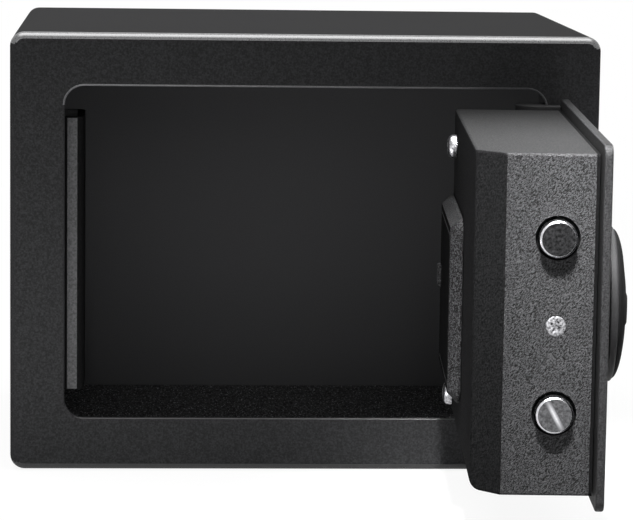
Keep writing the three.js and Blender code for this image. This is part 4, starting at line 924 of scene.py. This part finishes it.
x0, x1, lid_foot, tab_top, z0, z1 = span("battery_cover")
lid_corner, lid_slope, lid_wall, lid_height, lid_turn, groove = 4.6, 3.6, 1.8, 4.6, 2.2, 0.25
lid_top = lid_foot + lid_height
hollow = [
    (lid_wall + lid_turn, lid_top - lid_wall), (lid_wall, lid_top - lid_wall - lid_turn),
    (lid_wall, lid_foot),
]
outer_side = eased([
    (0.25, lid_foot), (0, lid_foot + 0.3), (0, lid_top - lid_slope), (lid_slope, lid_top),
    (lid_slope + 2, lid_top),
], 0.35, 3)
crown_edge = [(lid_slope + 2.3, lid_top - groove), (lid_slope + 2.9, lid_top - groove)]
crown_edge += [(lid_slope + 3.2, lid_top)]
cover = skin("battery_lid", inward((x0, x1, z0, z1), lid_corner, [*hollow, *outer_side, *crown_edge]))
place, facing = faces_of(cover)
paint_faces(cover, (facing[1] < 0.9) & (place[1] > lid_foot + near))
lid_side = frosted("frosted lid side", 0.001, 0.031, 0.7)
lid_crown = moulded("dull lid crown", 0.002, 0.92, specular=0.0)
fit(cover, "battery_cover", "battery_lid", "black_plastic", lid_crown, lid_side, sharp=30)

tab_outline, tab_corner, tab_ease = (66.1, 72.1, 76.9, 85.6), 0.8, 0.6
tab = skin("lid_tab", inward(tab_outline, tab_corner, [
    (0, lid_top - 0.6), (0, tab_top - 0.7), *bend(tab_ease, tab_top - tab_ease, tab_top, 4),
], 4))
fit(tab, "", "battery_lid", "black_plastic", lid_side)

keep("battery_tray", moulded("tray plastic", 0.011, 0.5))
keep("battery_contact_near", zinc)
keep("battery_contact_far", zinc)


def sleeve():
    """A cell's printed sleeve: dark grey, without any lettering."""
    finish, shader, place = blank("cell sleeve", (0.03, 0.035, 0.042), 0.28, specular=0.5)
    colours = (0.025, 0.03, 0.037), (0.038, 0.043, 0.05)
    textured(shader, noise(place, 5, 1.0), (0.4, 0.6), colours, None, (0.02, 0.3))
    return finish


sleeve_finish = sleeve()
band_finish = plated("cell band", (0.42, 0.27, 0.12), (0.6, 0.42, 0.2), 0.25)
band_start, button_height, button_radius, shoulder = 38, 1.2, 2.7, 0.6
for number in range(1, 5):
    x0, x1 = span("battery_%d" % number)[:2]
    (_, y, z), (_, _, radius) = middle_and_half("battery_%d" % number)
    start_x, direction = (x0, 1) if number % 2 else (x1, -1)
    length = x1 - x0 - button_height
    cell = turned("cell_%d" % number, eased([
        (0, centre_line), (0, radius - shoulder), (shoulder, radius), (length - shoulder, radius),
        (length, radius - shoulder), (length, button_radius), (length + button_height, button_radius),
        (length + button_height, centre_line),
    ], 0.4, 3), (start_x, y, z), (direction, 0, 0), 48)
    place, _ = faces_of(cell)
    along, from_axis = (place[0] - start_x) * direction, np.hypot(place[1] - y, place[2] - z)
    bare = (along < 0.3) | (along > length - 0.3) | (from_axis < radius - 0.7)
    paint_faces(cell, np.where(bare, 2, along > band_start))
    fit(cell, "battery_%d" % number, "door", "cell", sleeve_finish, band_finish, zinc)

# The keypad: a moulded black bezel on the front of the plate, twelve pale keys on a rubber mat with
# plain printed figures, a green circuit board behind them, and a red and a green lamp above.

x0, x1, _, bezel_back, z0, z1 = span("keypad_bezel")
bezel_corner, bezel_height, bezel_wall, bezel_ease = 5, 3.7, 1.6, 1.3
bezel_front = bezel_back - bezel_height
bezel = skin("keypad_frame", inward((x0, x1, z0, z1), bezel_corner, [
    (bezel_wall, bezel_front + bezel_wall), (bezel_wall, bezel_back), (0.15, bezel_back),
    (0, bezel_back - 0.2), *bend(bezel_ease, bezel_front + bezel_ease, bezel_front),
]))
key_foot, cap_front = key_spans[0, 3], key_spans[0, 2]
cap_flange, cap_corner, cap_ease, key_gap, stem_inset, stem_corner = 0.8, 2.4, 0.6, 0.3, 3.3, 1.6
lens_hole, lock_hole = 1.75, 6.3
depths = (bezel_front - 3, bezel_front + 7)
cut(
    bezel,
    *[window(outline, cap_corner + key_gap, depths, cap_flange - key_gap, 4) for outline in key_outlines],
    *[hole(lens_hole, (x, lamp_z), depths) for x in lamp_x.values()],
    hole(lock_hole, (lock_x, lock_z), depths),
)
fit(bezel, "keypad_bezel", "door", "black_plastic", black_plastic, sharp=32)

key_plastic = moulded("key plastic", (0.25, 0.255, 0.26), 0.38, 0.4, 0.01)
figure_ink = moulded("figure ink", 0.02, 0.5, 0.3, 0.002)
figures = "123456789*0#"
figure_size, figure_depth, figure_bold, figure_sink = 6.6, 0.06, 0.13, 0.2
dish_reach, dish_depth, dish_shares = 3.2, 0.22, (0.15, 0.35, 0.6, 0.85, 1.0)
stem_places = [(cap_flange + stem_inset, y) for y in (key_foot, bezel_front + 3.1)]
cap_places = [(0, bezel_front + 2.9), (0, bezel_front + 1.9), (cap_flange, bezel_front + 1.9)]
cap_places += [(cap_flange + i, y) for i, y in bend(cap_ease, cap_front + cap_ease, cap_front, 5)]
cap_places += [
    (cap_flange + (cap_ease + dish_reach * s), cap_front + dish_depth * math.sin(math.pi / 2 * s))
    for s in dish_shares
]
for key_name, figure, outline in zip(key_names, figures, key_outlines):
    stem = inward(outline, stem_corner, stem_places, 4)
    cap = skin("cap_" + key_name, stem + inward(outline, cap_corner, cap_places, 4))
    fit(cap, "key_" + key_name, "button_" + key_name, "key_plastic", key_plastic)
    letter = bpy.data.curves.new("figure", "FONT")
    letter.body, letter.size, letter.extrude = figure, figure_size / 1000, figure_depth / 1000
    letter.offset = figure_bold / 1000
    holder = put("figure", letter)
    mesh = plain_mesh(holder)
    bpy.data.objects.remove(holder)
    mesh.name = "figure_" + key_name
    print_mark = put("figure_" + key_name, mesh)
    flat = corners(print_mark)
    flat -= (flat.min(axis=0) + flat.max(axis=0)) / 2
    middle_x, middle_z = (outline[0] + outline[1]) / 2, (outline[2] + outline[3]) / 2
    placed = [middle_x + flat[:, 0], cap_front + figure_sink - flat[:, 2], middle_z + flat[:, 1]]
    mesh.vertices.foreach_set("co", (np.stack(placed, axis=-1) / 1000).ravel())
    face_outwards(print_mark)
    mesh.materials.clear()
    fit(print_mark, "", "button_" + key_name, "black_plastic", figure_ink, sharp=0)

keep("keypad_board", moulded("solder mask", (0.012, 0.06, 0.03), 0.3, 1.5, 0.004))
for colour_name, colour in (("red", (0.42, 0.008, 0.008)), ("green", (0.008, 0.3, 0.03))):
    x0, x1, y0, y1, _, _ = lamp_spans[colour_name]
    radius = (x1 - x0) / 2
    lens_finish, shader, place = blank(colour_name + " lens", colour, 0.12, specular=0.6)
    shader.inputs["Coat Weight"].default_value = 0.6
    clouded = mixed(noise(place, 0.9, 1.0), tuple(0.6 * c for c in colour), colour)
    shader.id_data.links.new(clouded, shader.inputs["Base Color"])
    profile = [(0.5 * (1 - math.cos(a)), radius * math.sin(a)) for a in np.linspace(0.001, math.pi / 2, 9)]
    profile += [(y1 - y0, radius), (y1 - y0, centre_line)]
    lens = turned("lamp_" + colour_name, profile, (lamp_x[colour_name], y0, lamp_z), (0, 1, 0), 40)
    fit(lens, "led_lens_" + colour_name, "door", colour_name + "_lens", lens_finish)

# The key lock: a zinc barrel behind the bezel with a brass plug and a straight keyway in it, and a
# drop-shaped flap of black plastic that hangs over the keyhole from a pivot on the bezel.

keep("key_lock_body", zinc)
brass = plated("turned brass", (0.42, 0.25, 0.07), (0.62, 0.4, 0.14), 0.3)
plug_x0, plug_x1, plug_front, plug_back, _, _ = span("key_cylinder")
plug_radius, plug_length, plug_ease = (plug_x1 - plug_x0) / 2, plug_back - plug_front, 0.3
plug = turned("lock_cylinder", eased([
    (0, centre_line), (0, plug_radius - plug_ease), (plug_ease, plug_radius), (plug_length, plug_radius),
    (plug_length, centre_line),
], 0.2), (lock_x, plug_front, lock_z), (0, 1, 0), 56)
keyway = (lock_x - 0.7, lock_x + 0.7, lock_z - 3.25, lock_z + 3.25)
cut(plug, window(keyway, 0.3, (plug_front - 5, plug_front + 8), 0, 3))
fit(plug, "key_cylinder", "lock_plug", "brass", brass)

flap_x0, flap_x1, flap_front, flap_back, flap_z0, flap_z1 = span("key_flap")
flap_x, flap_radius, eye_radius, flap_ease = (flap_x0 + flap_x1) / 2, 9.5, 4.0, 0.6
round_z, eye_z = flap_z0 + flap_radius, flap_z1 - eye_radius
lean = math.degrees(math.asin((flap_radius - eye_radius) / (eye_z - round_z)))
drop = np.concatenate([
    arc((flap_x, round_z), flap_radius, 180 - lean, 360 + lean, 40),
    arc((flap_x, eye_z), eye_radius, lean, 180 - lean, 20),
])
flap_middle = np.array([flap_x, (flap_z0 + flap_z1) / 2])
reach = np.linalg.norm(drop - flap_middle, axis=1, keepdims=True)
flap_places = [(0.35, flap_back), (0, flap_back - 0.3)]
flap_places += bend(flap_ease, flap_front + flap_ease, flap_front, 5)
flap_loops = [
    np.insert(flap_middle + (drop - flap_middle) * (1 - inset / reach), 1, y, axis=1)
    for inset, y in flap_places
]
flap = skin("keyhole_flap", flap_loops)
cut(flap, hole(2.0, (flap_x, eye_z), (flap_front - 2, flap_back + 1)))
fit(flap, "key_flap", "lock_flap", "black_plastic", black_plastic)

pivot_foot, pivot_radius = bezel_front + 0.8, 1.7
pivot_length = pivot_foot - flap_front
profile = [(0, centre_line), (0, pivot_radius), (pivot_length, pivot_radius), (pivot_length, centre_line)]
pivot = turned("flap_pivot", eased(profile, 0.3), (flap_x, pivot_foot, eye_z), (0, -1, 0), 32)
fit(pivot, "", "door", "black_plastic", black_plastic)

# The studio: a plain pale floor that runs out to white and stays dark under the case, a broad soft
# lamp overhead, a fill in front, a weak lamp on the table, and spots on the open door and in the
# mouth. The world behind is white, at full strength only for camera, glossy and see-through rays.

floor_z = -0.0003
floor_mesh = bpy.data.meshes.new("studio_floor")
floor_corners = [(-6, -4, floor_z), (6, -4, floor_z), (6, 9, floor_z), (-6, 9, floor_z)]
floor_mesh.from_pydata(floor_corners, [], [(0, 1, 2, 3)])
floor = put("studio_floor", floor_mesh)


def seen_as_backdrop(tree):
    """1 for the camera's, glossy and see-through rays, and 0 for the rays that light things."""
    paths = add(tree, "ShaderNodeLightPath").outputs
    either = arithmetic("MAXIMUM", paths["Is Camera Ray"], paths["Is Glossy Ray"])
    return arithmetic("MAXIMUM", either, paths["Is Transmission Ray"])


floor_finish, shader, place = blank("pale floor", (0.8, 0.8, 0.8), 0.9, specular=0.1)
tree = shader.id_data
glow = add(tree, "ShaderNodeEmission", {"Color": (1, 1, 1, 1), "Strength": 1.0})
full_glow = spread(arithmetic("LENGTH", place, kind="VectorMath"), 0.35, 0.9, 0.92, 1.0)
case_low, case_high = [np.array(corner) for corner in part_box("body_shell")]
case_half = (case_high - case_low) / 2
outward = arithmetic("MULTIPLY", place, (1 / case_half[0], 1 / case_half[1], 0), kind="VectorMath")
outward = arithmetic("ABSOLUTE", outward, kind="VectorMath")
axes = add(tree, "ShaderNodeSeparateXYZ", {0: outward}).outputs
beside_case = spread(arithmetic("MAXIMUM", axes[0], axes[1]), 0.93, 0.97, 0.0, 1.0)
glow_share = arithmetic("MULTIPLY", arithmetic("MULTIPLY", seen_as_backdrop(tree), full_glow), beside_case)
shown = add(tree, "ShaderNodeMixShader", {0: glow_share, 1: shader.outputs[0], 2: glow.outputs[0]})
tree.links.new(shown.outputs[0], tree.nodes["Material Output"].inputs["Surface"])
floor.data.materials.append(floor_finish)

world = bpy.data.worlds.new("studio")
bpy.context.scene.world = world
world.use_nodes = True
tree = world.node_tree
background = tree.nodes["Background"]
background.inputs["Color"].default_value = (1, 1, 1, 1)
tree.links.new(spread(seen_as_backdrop(tree), 0, 1, 0.25, 1.0), background.inputs["Strength"])


def aimed(name, kind, place, target, power):
    """A lamp at a place that shines towards its target."""
    lamp = put(name, bpy.data.lights.new(name, kind))
    lamp.data.energy = power
    aim = Vector(target) - Vector(place)
    lamp.matrix_world = Matrix.Translation(place) @ aim.to_track_quat("-Z", "Y").to_matrix().to_4x4()
    return lamp


def soft_lamp(name, place, target, width, height, power):
    """A rectangle of light, in metres and watts, that the camera doesn't see."""
    lamp = aimed(name, "AREA", place, target, power)
    lamp.data.shape, lamp.data.size, lamp.data.size_y = "RECTANGLE", width, height
    lamp.visible_camera = False


def soft_spot(name, place, target, power, cone):
    """A cone of light that fades from its middle; the cone is its full angle in radians."""
    lamp = aimed(name, "SPOT", place, target, power)
    lamp.data.spot_size, lamp.data.spot_blend, lamp.data.shadow_soft_size = cone, 1.0, 0.08


soft_lamp("top lamp", (0.0, -0.1, 1.25), (0.0, -0.05, 0.1), 1.4, 1.0, 25)
soft_lamp("front lamp", (-0.15, -1.6, 0.3), (-0.03, -0.1, 0.08), 1.6, 0.8, 7.5)
soft_lamp("table lamp", (-0.17, -0.2, 0.028), (-0.17, 0.087, 0.438), 0.32, 0.09, 0.5)
soft_spot("door spot", (0.04, -0.55, 0.72), (0.1, -0.265, 0.2), 580, 0.23)
soft_spot("mouth spot", (-0.05, -1.2, 0.32), (-0.025, 0.08, 0.02), 9, 0.15)
